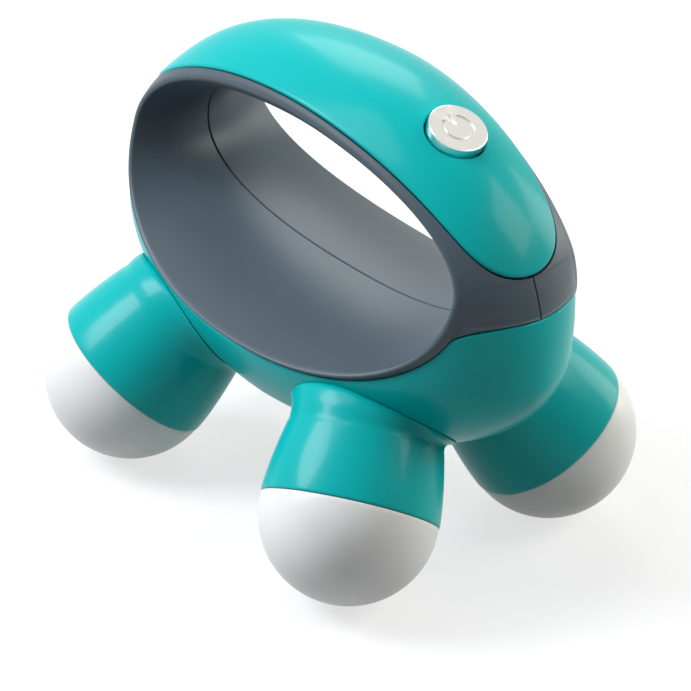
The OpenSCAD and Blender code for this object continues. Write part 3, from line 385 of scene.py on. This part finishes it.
def cover():
    """The teal shell over the crown: rows from its middle line out to the bead and back underneath."""
    t = np.arange(0, 360, 1.0)
    u = np.abs(sind(t))
    span = 90 - COVER_TIP
    a_edge = 90 + span * sind(t)
    w_edge = COVER_SHARE * np.sqrt(np.maximum(1 - u ** COVER_N, 0))
    side = np.where(cosd(t) >= 0, 1.0, -1.0)
    b_edge = side * share_to_b(w_edge, a_edge)
    boundary = outer(a_edge, b_edge)
    normal = outer_normal(a_edge, b_edge)
    tangent = unit(np.roll(boundary, -1, 0) - np.roll(boundary, 1, 0))
    centre = outer(90 + COVER_CORE * (a_edge - 90), 0 * a_edge)
    inward = unit(np.cross(normal, tangent))
    inward = inward * np.sign(np.sum(inward * (centre - boundary), 1))[:, None]

    def row(rho, lift):
        a = 90 + span * sind(t) * mix(COVER_CORE, 1, rho)
        return inset(a, side * share_to_b(rho * w_edge, a), -lift * np.ones_like(a))

    last = 1 - BEAD_W / np.linalg.norm(boundary - centre, axis=1)
    rows = [row(last * k, PROUD) for k in np.linspace(0, 1, 30) ** 0.8]
    rows += [boundary + d * inward + h * normal for d, h in BEAD]
    rows += [row(last * k, -COVER_T + 0.35 * k) for k in np.linspace(1, 0, 12)]
    obj = sheet("cover", np.stack(rows, 1), wrap_rows=True)
    wide = HOLE_R + HOLE_CHAMFER
    profile = [(AXIS, -6), (HOLE_R, -6), (HOLE_R, -HOLE_CHAMFER - 0.1), (HOLE_R + 0.06, -HOLE_CHAMFER + 0.1),
               (wide - 0.35, 0.02), (wide - 0.1, 0.2), (wide + 0.25, 0.32), (wide + 0.7, 0.42),
               (wide + 0.7, 6), (AXIS, 6)]
    return cut(obj, sheet("hole", lathe(profile, 128, at_button), wrap_rows=True, smooth=False))


# Grey liner halves: the ledge that the cover lies in, and the half gap between the halves
LEDGE_B, LEDGE_SHARE, LEDGE_TIP, SEAM = 88.0, COVER_SHARE + 0.018, COVER_TIP - 0.5, 0.15


def bare_b(a):
    """The section angle at which the liner's bare band ends, under the cover or at the bowl's edge."""
    low = np.where(a > 90, 180 - a, a)
    u = np.clip((90 - low) / (90 - LEDGE_TIP), 0, 1)
    crown = share_to_b(LEDGE_SHARE * np.sqrt(1 - u ** COVER_N), a)
    dip = np.clip((BASE_EDGE - low) / BASE_DIP, 0, 1)
    return np.where(low > LEDGE_TIP, crown, LEDGE_B * dip ** (1 / BASE_DIP_N))


def dense(lo, hi, n, p=1.0):
    """n values from lo up to hi, which is left out, crowded towards lo where p is above 1."""
    return lo + (hi - lo) * np.linspace(0, 1, n, endpoint=False) ** p


def liner(name, sy):
    """Half of the hand ring's lining: seam groove, tunnel skin, lip, bare band, then back underneath."""
    dips = [BASE_EDGE - BASE_DIP * (j / 40) ** BASE_DIP_N for j in range(40, 0, -1)]
    right = np.concatenate([dense(-90, BASE_EDGE - BASE_DIP, 80), dips, dense(BASE_EDGE, LEDGE_TIP, 14),
                            dense(LEDGE_TIP, LEDGE_TIP + 14, 44, 2), dense(LEDGE_TIP + 14, 90, 44)])
    a = np.concatenate([right, [90.0], 180 - right[:0:-1]])
    t = rim_angle(a)
    lip, e, bare = rim(t), edge(t), bare_b(a)
    covered = np.clip(bare / 12, 0, 1)
    under = np.where(np.where(a > 90, 180 - a, a) > BASE_EDGE, 1.1, 2.1)
    start = tunnel(a, 0.0)
    off_mid = np.array([0, SEAM, 0])
    centre = np.stack([0 * a, 0 * a, WAIST_Z + 0 * a], 1)
    away = unit((start - centre) * np.array([1, 0, 1]))
    groove = [start + off_mid + 1.2 * away, start + off_mid + 0.25 * away,
              start + off_mid * 1.9 + 0.02 * away]
    skin = [tunnel(a, k) for k in (0.012, 0.04, 0.1, 0.18, 0.26, 0.34, 0.42, 0.5, 0.58, 0.66, 0.74, 0.81,
                                   0.87, 0.92, 0.96)]
    lips = [lip, (lip + e) / 2 + np.array([0, 0.9, 0]), e]
    band = [outer(a, mix(90, bare, k)) for k in (0.12, 0.3, 0.5, 0.7, 0.86, 0.95, 0.985)]
    end, n = outer(a, bare), outer_normal(a, bare)
    wall = [end - 0.04 * n, end - 0.2 * n, end - mix(0.7, under, covered)[:, None] * n]
    behind = np.maximum(bare - 20 * covered, 0)
    back = [inset(a, behind, mix(1.3, under + 0.3, covered)),
            inset(a, behind, mix(1.9, under + 1.7, covered))]
    rear = [tunnel(a, k) + 1.7 * away for k in (0.8, 0.4, 0.05)]
    soft = soften(np.stack(groove + skin + lips + band, 1), 2)
    pts = np.concatenate([soft, np.stack(wall + back + rear, 1)], 1)
    pts[..., 1] = np.maximum(pts[..., 1], SEAM)
    pts[..., 1] *= sy
    return sheet(name, pts, wrap_rows=True, wrap_cols=True)


# Bowl and battery door: wall thicknesses and the gap between them
BOWL_T, DOOR_T, DOOR_GAP = 1.8, 1.7, 0.3
# Radius of the bowl's edge, its length from the middle to an end, and a distance well away from any edge
BOWL_ROUND, BOWL_RUN, BOWL_FAR = 0.5, 96, 9.0
# The door, the housing screws and the hinge's bearings
DOOR_HALF, LATCH_Y, HINGE_Y, HINGE_Z, HINGE_R = 11.2, 22.3, 19.6, 30.4, 3.1
SCREW_X, SCREW_Y, SCREW_R, HEAD_R, HEAD_Z = 15.3, 3.4, 1.35, 2.5, 26.2
BEARING_X0, BEARING_X1, BEARING_R, PIN_HOLE_R = 11.55, 14.45, 1.7, 1.08


def bowl(name, wall):
    """The bowl's shell, with rounded edges where it ends."""
    near = np.array([0, 0.03, 0.1, 0.2, 0.34, 0.5, 0.8])
    d_end = np.concatenate([near / BOWL_RUN, np.linspace(2 * near[-1] / BOWL_RUN, 1, 150)])
    u = np.concatenate([-1 + d_end, (1 - d_end)[::-1][1:]])

    def ring_angle(b):
        return -90 + u[:, None] * (90 + BASE_EDGE - BASE_GAP - BASE_DIP * np.abs(b / BOWL_B) ** BASE_DIP_N)

    fine = np.linspace(-BOWL_B, BOWL_B, 601)
    a_fine = ring_angle(fine)
    track = outer(a_fine, np.broadcast_to(fine, a_fine.shape))
    steps = np.linalg.norm(np.diff(track, axis=1), axis=2)
    run = np.concatenate([np.zeros((len(u), 1)), np.cumsum(steps, 1)], 1)
    cols = []
    share = np.linspace(0, 1, 71)[1:-1]
    for line in run:
        total = line[-1]
        stops = np.concatenate([near, near[-1] + share * (total - 2 * near[-1]), total - near[::-1]])
        cols.append(np.interp(stops, line, fine))
    b = np.array(cols)
    a = ring_angle(b)
    side = np.concatenate([near, np.full(b.shape[1] - 2 * len(near), BOWL_FAR), near[::-1]])
    ends = np.minimum((1 - np.abs(u)) * BOWL_RUN, BOWL_FAR)
    r = BOWL_ROUND
    dx, dy = np.clip(r - ends, 0, r)[:, None], np.clip(r - side, 0, r)[None, :]
    drop = r - np.sqrt(np.maximum(r * r - dx ** 2 - dy ** 2, 0))
    top = inset(a, b, drop)
    low = inset(a, b, np.full(a.shape, wall))
    rows, n = a.shape
    loop = np.concatenate([top, low[:, ::-1]], 1)
    faces = grid_faces(rows, 2 * n, wrap_cols=True)
    for end in (0, rows - 1):
        base = end * 2 * n
        faces += [[base + j, base + j + 1, base + 2 * n - 2 - j, base + 2 * n - 1 - j] for j in range(n - 1)]
    return new_object(name, loop.reshape(-1, 3), faces)


def door_cutter(g):
    """The door's space, wider by g on every side: the panel, the lip past the hinge, the hinge's nose."""
    half = DOOR_HALF + g
    body = block("door_cut", (-half, -LATCH_Y - g, 18), (half, HINGE_Y + 0.001, 36.001))
    lip = block("lip_cut", (-half, HINGE_Y - 1, 18), (half, HINGE_Y + 1.2 + g, 28))
    nose = rod_x("nose_cut", -half, half, HINGE_Y, HINGE_Z, HINGE_R + g, 128, 0.0005, False)
    return unite(body, lip, nose)


def at_screw(sx, sy):
    return Matrix.Translation((SCREW_X * sx, SCREW_Y * sy, 0))


def base():
    """The bowl with the door's opening and the recesses of the housing screws."""
    obj = cut(bowl("bowl", BOWL_T), door_cutter(DOOR_GAP))
    profile = [(AXIS, 20), (3.1, 20), (2.85, 23.93), (HEAD_R, 24.2), (HEAD_R, HEAD_Z), (SCREW_R, HEAD_Z),
               (SCREW_R, 34), (AXIS, 34)]
    for corner in CORNERS.values():
        obj = cut(obj, sheet("recess", lathe(profile, 48, at_screw(*corner)), wrap_rows=True, smooth=False))
    return obj


def boss(name, sx, sy):
    """The boss over a housing screw's recess."""
    profile = [(SCREW_R, 26.21), (3.5, 24.9), (3.5, 28.1), (3.3, 28.4), (SCREW_R, 28.4)]
    return sheet(name, lathe(profile, 48, at_screw(sx, sy)), wrap_rows=True, wrap_cols=True)


def bearing(name, sx):
    """The base's bearing for one of the door's pins."""
    m = Matrix.Translation((BEARING_X0 * sx, HINGE_Y, HINGE_Z)) @ Matrix.Rotation(sx * math.pi / 2, 4, "Y")
    n, r, c = BEARING_X1 - BEARING_X0, BEARING_R, 0.15
    profile = [(PIN_HOLE_R, 0), (r - c, 0), (r, c), (r, n - c), (r - c, n), (PIN_HOLE_R, n)]
    return sheet(name, lathe(profile, 48, m), wrap_rows=True, wrap_cols=True)


def door():
    """The door's panel with its knuckles, pins and latch tongue."""
    parts = [cut(bowl("door_skin", DOOR_T), door_cutter(0.0), "INTERSECT")]
    for sx in (-1, 1):
        for name, start, end, r in (("knuckle", DOOR_HALF - 2.5, DOOR_HALF, 1.9),
                                    ("pin", DOOR_HALF - 0.5, DOOR_HALF + 2.6, 1.0)):
            x0, x1 = sorted((sx * start, sx * end))
            parts.append(rod_x(name, x0, x1, HINGE_Y, HINGE_Z, r))
    parts.append(bevelled(block("tongue", (-3, -LATCH_Y + 0.1, 29.8), (3, -LATCH_Y + 1.1, 32.8)), 0.2))
    return join("battery_cover", *parts)


# Legs and tips: the gaps between a leg's shoulder and the bowl, outside and inside
SEAT_GAP, SEAT_GAP_IN = 0.15, 0.4


def leg_radius(t):
    return mix(LEG_R, NECK_R, (np.maximum(t, 0) / NECK_D) ** LEG_BOW)


def seat(u, v, gap):
    """Height along the leg's axis at which the line (u, v) meets the bowl's outside, gap above it."""
    def local(a, b):
        d = inset(a, b, np.full(np.shape(a), -gap)) - leg_p
        return np.stack([d @ leg_u, d @ leg_v, d @ leg_w], -1)

    step = 0.5
    a, b = np.full(u.shape, -52.0), np.full(u.shape, 40.0)
    for _ in range(24):
        g, ga, gb = local(a, b), local(a + step, b), local(a, b + step)
        ga, gb = (ga - g) / step, (gb - g) / step
        du, dv = u - g[..., 0], v - g[..., 1]
        det = ga[..., 0] * gb[..., 1] - ga[..., 1] * gb[..., 0]
        a = a + np.clip((du * gb[..., 1] - dv * gb[..., 0]) / det, -8, 8)
        b = np.minimum(83, b + np.clip((ga[..., 0] * dv - ga[..., 1] * du) / det, -8, 8))
    return local(a, b)[..., 2]


def leg_grid():
    """A leg's skin in its own frame: rim, tube, neck, flare to the shoulder, then back underneath."""
    g = np.arange(0, 360, 1.25)
    s, c = sind(g), cosd(g)
    one = np.ones_like(g)

    def column(r, z):
        return np.stack([r * one, z * one], -1)

    r = mix(np.where(c < 0, 14.0, 17.0), np.where(s > 0, 17.7, 16.6), np.abs(s) ** np.where(s > 0, 2, 3))
    inner, back = r - 0.9, r - 2.2
    t1 = seat(r * c, r * s, SEAT_GAP)
    t2 = seat(inner * c, inner * s, SEAT_GAP_IN)
    t0 = seat(back * c, back * s, SEAT_GAP)
    bend = mix(NECK_D, t1, 0.75)
    flare = [column(leg_radius(NECK_D - 1.2), NECK_D - 1.2), column(NECK_R, NECK_D),
             column(mix(NECK_R, r, 0.09), mix(NECK_D, t1, 0.45)),
             column(mix(NECK_R, r, 0.42), mix(NECK_D, t1, 0.8)),
             column(mix(NECK_R, r, 0.72), mix(bend, t1, 0.72)), column(r, t1 - 0.12)]
    low = [(16.2, 2.0), (16.35, 0.2), (16.5, 0.0), (17.75, 0.0), (17.93, 0.05), (17.99, 0.2)]
    low += [(leg_radius(t), t) for t in np.linspace(0.5, NECK_D - 1.6, 22)]
    lower = np.broadcast_to(np.array(low), (len(g), len(low), 2))
    under = [column(r - 0.08, t1), column(inner, t2), column(back, t0 - 0.1),
             column(14.0 - 0.6, mix(NECK_D, t0, 0.3)), column(14.4, 11.0)]
    rz = np.concatenate([lower, spline(np.stack(flare, -2), 6), np.stack(under, 1)], 1)
    return np.stack([rz[..., 0] * c[:, None], rz[..., 0] * s[:, None], rz[..., 1]], -1)


def tip_grid():
    """A tip in the leg's frame: the plug inside the leg, the rim, the band and the dome."""
    q = np.radians(np.linspace(0, 90, 61))
    dome = [(DOME_R * math.cos(k), -TIP_BAND - DOME_R * math.sin(k)) for k in q[1:]]
    dome[-1] = (AXIS, dome[-1][1])
    plug = [(AXIS, 1.0), (14.0, 1.0), (14.0, 4.0), (16.0, 4.0), (16.1, -TIP_GAP), (DOME_R - 0.2, -TIP_GAP),
            (DOME_R - 0.06, -0.16), (DOME_R, -0.3), (DOME_R, -TIP_BAND)]
    return lathe(plug + dome, 192, Matrix.Identity(4))


def in_corner(points, sx, sy):
    return place(points, at_leg) * np.array([sx, sy, 1])


# Button
CAP_R, CAP_UP, CAP_ROUND, CAP_FLANGE, CAP_T, FACE_T = 6.0, 1.4, 0.2, 3.2, 1, 0.35
FLANGE_R, FLANGE_T, CAP_HOLLOW_R = 7.0, 0.7, 5.0
SYMBOL_R, SYMBOL_W, SYMBOL_DEPTH, SYMBOL_GAP = 3.1, 0.7, 0.25, 30
BAR_OUT, BAR_IN = 3.4, 0.9


def symbol_part(name, stations):
    """A cutter for one groove of the power symbol, from its cross-sections' four corners."""
    return sheet(name, place(np.array(stations), at_button), wrap_cols=True, caps=True, smooth=False)


def button():
    """The chrome cap with its stem, and the flat satin face that carries the engraved symbol."""
    face_r = CAP_R - CAP_ROUND
    under = CAP_UP - FACE_T
    corner = [(face_r + CAP_ROUND * cosd(k), CAP_UP - CAP_ROUND + CAP_ROUND * sind(k))
              for k in np.linspace(0, 90, 9)]
    foot = -CAP_FLANGE - FLANGE_T
    ceiling = CAP_UP - CAP_T
    profile = [(CAP_HOLLOW_R, foot), (FLANGE_R, foot), (FLANGE_R, -CAP_FLANGE), (CAP_R, -CAP_FLANGE),
               (CAP_R, -1)]
    profile += corner + [(face_r, under), (AXIS, under), (AXIS, ceiling), (CAP_HOLLOW_R, ceiling)]
    cap = sheet("button_cap", lathe(profile, 160, at_button), wrap_rows=True, wrap_cols=True)
    cap.data.set_sharp_from_angle(angle=math.radians(40))
    stem_profile = [(AXIS, -4.6), (1.4, -4.6), (1.5, -4.5), (1.5, 0.45), (AXIS, 0.45)]
    stem = sheet("button_stem", lathe(stem_profile, 48, at_button), wrap_rows=True)
    disc = [(AXIS, under + 0.01), (face_r - 0.005, under + 0.01), (face_r - 0.005, CAP_UP), (AXIS, CAP_UP)]
    face = sheet("button_face", lathe(disc, 160, at_button), wrap_rows=True, smooth=False)
    low, high, half = CAP_UP - SYMBOL_DEPTH, CAP_UP + 1, SYMBOL_W / 2
    corners = ((-half, low), (half, low), (half, high), (-half, high))
    arc = [[[(SYMBOL_R + d) * cosd(k), (SYMBOL_R + d) * sind(k), z] for d, z in corners]
           for k in 180 + np.linspace(SYMBOL_GAP, 360 - SYMBOL_GAP, 80)]
    bar = [[[x, y, z] for y, z in corners] for x in (-BAR_OUT, -BAR_IN)]
    unite(face, symbol_part("arc", arc), symbol_part("bar", bar), operation="DIFFERENCE")
    bevelled(face, 0.04)
    face.data.polygons.foreach_set("use_smooth", [False] * len(face.data.polygons))
    return join("button_cap", cap, stem), face


# Materials

def noise(tree, coord, scale, detail):
    """Noise over the object's own coordinates."""
    node = tree.nodes.new("ShaderNodeTexNoise")
    node.inputs["Scale"].default_value = scale
    node.inputs["Detail"].default_value = detail
    tree.links.new(coord.outputs["Object"], node.inputs["Vector"])
    return node.outputs["Fac"]


def material(name, color, rough, metallic=0.0, coat=0.0, coat_rough=0.05, vary=0.04, scale=120.0,
             bump=0.02, bump_scale=900.0, rough_vary=0.05, sub=0.0, shine=0.5):
    """A plain surface whose colour and roughness vary a little, with a fine grain."""
    m = bpy.data.materials.new(name)
    m.use_nodes = True
    nt = m.node_tree
    nodes, links = nt.nodes, nt.links
    bsdf = nodes["Principled BSDF"]
    coord = nodes.new("ShaderNodeTexCoord")
    cloud = noise(nt, coord, scale, 4)
    ramp = nodes.new("ShaderNodeMix")
    ramp.data_type = "RGBA"
    ramp.inputs["A"].default_value = (*[c * (1 - vary) for c in color], 1)
    ramp.inputs["B"].default_value = (*[min(1, c * (1 + vary)) for c in color], 1)
    links.new(cloud, ramp.inputs["Factor"])
    links.new(ramp.outputs["Result"], bsdf.inputs["Base Color"])
    span = nodes.new("ShaderNodeMapRange")
    span.inputs["To Min"].default_value = max(0.02, rough - rough_vary)
    span.inputs["To Max"].default_value = rough + rough_vary
    links.new(cloud, span.inputs["Value"])
    links.new(span.outputs["Result"], bsdf.inputs["Roughness"])
    height = nodes.new("ShaderNodeBump")
    height.inputs["Strength"].default_value = bump
    height.inputs["Distance"].default_value = 0.0002
    links.new(noise(nt, coord, bump_scale, 2), height.inputs["Height"])
    links.new(height.outputs["Normal"], bsdf.inputs["Normal"])
    bsdf.inputs["Metallic"].default_value = metallic
    bsdf.inputs["IOR"].default_value = 1.5
    bsdf.inputs["Specular IOR Level"].default_value = shine
    bsdf.inputs["Coat Weight"].default_value = coat
    bsdf.inputs["Coat Roughness"].default_value = coat_rough
    if sub:
        bsdf.inputs["Subsurface Weight"].default_value = sub
        bsdf.inputs["Subsurface Radius"].default_value = (0.003, 0.003, 0.003)
        bsdf.inputs["Subsurface Scale"].default_value = 1.0
    return m


TEAL = material("teal_gloss", (0.0, 0.45, 0.445), 0.34, coat=0.13, coat_rough=0.13, vary=0.015, scale=60,
                bump=0.015, bump_scale=500, rough_vary=0.02, shine=0.1)
GREY = material("grey_satin", (0.066, 0.095, 0.117), 0.42, vary=0.04, scale=90, bump=0.12, bump_scale=2600,
                rough_vary=0.03, shine=0.32)
WHITE = material("white_satin", (0.87, 0.87, 0.855), 0.38, vary=0.008, scale=60, bump=0.06, bump_scale=2200,
                 rough_vary=0.03, sub=0.1)
CHROME = material("chrome", (0.86, 0.86, 0.87), 0.16, metallic=1.0, vary=0.02, bump=0.01, rough_vary=0.02)
SATIN = material("satin_metal", (0.72, 0.71, 0.67), 0.35, metallic=1.0, vary=0.01, bump=0.02, rough_vary=0.02)
BLACK = material("black_plastic", (0.02, 0.02, 0.022), 0.45, vary=0.1, bump=0.1, bump_scale=2000)
STEEL = material("steel", (0.56, 0.56, 0.57), 0.28, metallic=1.0, vary=0.06, scale=400, bump=0.05,
                 rough_vary=0.08)
BRASS = material("brass", (0.75, 0.56, 0.28), 0.25, metallic=1.0, vary=0.06, scale=300)
BOARD = material("board_green", (0.02, 0.16, 0.07), 0.35, vary=0.15, scale=500)
WIRE = material("wire_red", (0.5, 0.03, 0.03), 0.4, vary=0.05)
CELL = material("cell_jacket", (0.55, 0.56, 0.6), 0.3, metallic=0.9, vary=0.04, scale=80)


def dress(obj, mat, slot, body, *nodes):
    """Gives a piece its material and body, and hides the solids that it stands for; its slot is not used."""
    obj.data.materials.clear()
    obj.data.materials.append(mat)
    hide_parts(*nodes)
    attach(obj, body)


# The pieces
dress(cover(), TEAL, "teal_gloss", "body", "top_cover")
dress(liner("liner_back", 1), GREY, "grey_satin", "body", "grip_liner_back")
dress(liner("liner_front", -1), GREY, "grey_satin", "body", "grip_liner_front")
fittings = [boss("boss_%d" % i, *c) for i, c in enumerate(CORNERS.values())]
fittings += [bearing("bearing_l", -1), bearing("bearing_r", 1)]
dress(join("bowl", base(), *fittings), TEAL, "teal_gloss", "body", "base_shell")
dress(door(), TEAL, "teal_gloss", "door", "battery_door")
leg_points, tip_points = leg_grid(), tip_grid()
for corner, (sx, sy) in CORNERS.items():
    leg = sheet("leg_shell_" + corner, in_corner(leg_points, sx, sy), wrap_rows=True, wrap_cols=True)
    dress(leg, TEAL, "teal_gloss", "body", "leg_" + corner)
    tip = sheet("dome_" + corner, in_corner(tip_points, sx, sy), wrap_rows=True)
    dress(tip, WHITE, "white_satin", "body", "tip_" + corner)
cap, face = button()
dress(cap, CHROME, "chrome", "button", "power_button")
dress(face, SATIN, "chrome", "button", "power_button")

# The inner pieces show their solids
INNER = {"switch_plunger": BLACK, "switch_body": BLACK, "switch_board": BOARD, "battery_tray": BLACK,
         "battery_left": CELL, "battery_right": CELL, "contact_springs": STEEL, "contact_plates": BRASS,
         "motor_can": STEEL, "motor_shaft": CHROME, "eccentric_weight": STEEL, "motor_cradle": BLACK,
         "motor_strap": STEEL, "wires": WIRE, "housing_screws": STEEL, "leg_screws": STEEL,
         "board_screws": STEEL, "strap_screws": STEEL}
for node, mat in INNER.items():
    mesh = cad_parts[node].data
    mesh.materials.clear()
    mesh.materials.append(mat)


# Floor and surroundings
FLOOR_HALF, FLOOR_Z, FLOOR_GREY, FLOOR_GLOW = 6.0, -0.0003, 0.35, 0.68
WORLD_LIGHT, SKY = 0.08, 1.0


def seen_directly(tree):
    """1 for the rays that see a background: the camera's own, and those through gloss or glass."""
    rays = tree.nodes.new("ShaderNodeLightPath")
    total = rays.outputs["Is Camera Ray"]
    for kind in ("Is Glossy Ray", "Is Transmission Ray"):
        either = tree.nodes.new("ShaderNodeMath")
        either.operation = "MAXIMUM"
        tree.links.new(total, either.inputs[0])
        tree.links.new(rays.outputs[kind], either.inputs[1])
        total = either.outputs[0]
    return total


def switch(tree, plain, direct, output):
    """Sends plain to the output, or direct for the rays that see it directly."""
    pick = tree.nodes.new("ShaderNodeMixShader")
    tree.links.new(seen_directly(tree), pick.inputs[0])
    tree.links.new(plain, pick.inputs[1])
    tree.links.new(direct, pick.inputs[2])
    tree.links.new(pick.outputs[0], tree.nodes[output].inputs["Surface"])


mesh = bpy.data.meshes.new("floor")
ends = ((-1, -1), (1, -1), (1, 1), (-1, 1))
mesh.from_pydata([(FLOOR_HALF * x, FLOOR_HALF * y, FLOOR_Z) for x, y in ends], [], [(0, 1, 2, 3)])
floor = link("floor", mesh)
m = bpy.data.materials.new("floor")
m.use_nodes = True
nt = m.node_tree
bsdf = nt.nodes["Principled BSDF"]
bsdf.inputs["Base Color"].default_value = (FLOOR_GREY, FLOOR_GREY, FLOOR_GREY, 1)
bsdf.inputs["Roughness"].default_value = 0.9
bsdf.inputs["Specular IOR Level"].default_value = 0.0
glow = nt.nodes.new("ShaderNodeEmission")
glow.inputs["Strength"].default_value = FLOOR_GLOW
add = nt.nodes.new("ShaderNodeAddShader")
nt.links.new(bsdf.outputs[0], add.inputs[0])
nt.links.new(glow.outputs[0], add.inputs[1])
switch(nt, bsdf.outputs[0], add.outputs[0], "Material Output")
floor.data.materials.append(m)

world = bpy.data.worlds.new("studio")
bpy.context.scene.world = world
world.use_nodes = True
wt = world.node_tree
wt.nodes["Background"].inputs["Color"].default_value = (1, 1, 1, 1)
wt.nodes["Background"].inputs["Strength"].default_value = WORLD_LIGHT
sky = wt.nodes.new("ShaderNodeBackground")
sky.inputs["Strength"].default_value = SKY
switch(wt, wt.nodes["Background"].outputs[0], sky.outputs[0], "World Output")

# Camera: its direction and roll, its distance and aim in m, and its focal length and centre in pixels
AZ, EL, ROLL = math.radians(47.69), math.radians(29.99), math.radians(2.98)
DIST, TARGET = 0.87152, Vector((0, 0, 0.03103))
PIXELS, FOCAL, CENTRE_X, CENTRE_Y, SENSOR = 691, 4283.83, 341.1, 345.36, 36
back = Vector((math.sin(AZ) * math.cos(EL), -math.cos(AZ) * math.cos(EL), math.sin(EL)))
right = Vector((math.cos(AZ), math.sin(AZ), 0))
up = back.cross(right)
r2 = math.cos(ROLL) * right + math.sin(ROLL) * up
u2 = -math.sin(ROLL) * right + math.cos(ROLL) * up

# Lamps
LAMP_SIZE, LAMP_AWAY, LAMP_TARGET = 0.42, 0.9, Vector((0, 0, 0.05))
COOL, WARM = (0.96, 1.0, 1.05), (1.0, 0.99, 0.93)


def lamp(name, turn, rise, power, tint):
    """A soft box that many degrees round from the camera's side and above the floor."""
    a, e = math.atan2(back.y, back.x) + math.radians(turn), math.radians(rise)
    d = Vector((math.cos(a) * math.cos(e), math.sin(a) * math.cos(e), math.sin(e)))
    data = bpy.data.lights.new(name, "AREA")
    data.shape, data.size, data.energy, data.color = "SQUARE", LAMP_SIZE, power, tint
    obj = link(name, data)
    obj.location = LAMP_TARGET + d * LAMP_AWAY
    obj.rotation_euler = (-d).to_track_quat("-Z", "Y").to_euler()


lamp("left", 270, 38, 8.0, COOL)
lamp("left_high", 270, 64, 2.1, COOL)
lamp("behind", 180, 38, 2.6, WARM)
lamp("right", 90, 38, 3.3, WARM)
lamp("right_low", 120, 12, 2.6, WARM)

cam = bpy.data.cameras.new("camera")
cam.lens, cam.sensor_width = FOCAL * SENSOR / PIXELS, SENSOR
cam.shift_x, cam.shift_y = (PIXELS / 2 - CENTRE_X) / PIXELS, (CENTRE_Y - PIXELS / 2) / PIXELS
cam.clip_start, cam.clip_end = 0.01, 50
camera = link("camera", cam)
camera.matrix_world = Matrix.Translation(TARGET + DIST * back) @ Matrix((r2, u2, back)).transposed().to_4x4()
bpy.context.scene.camera = camera
bpy.context.scene.view_settings.view_transform = "Standard"
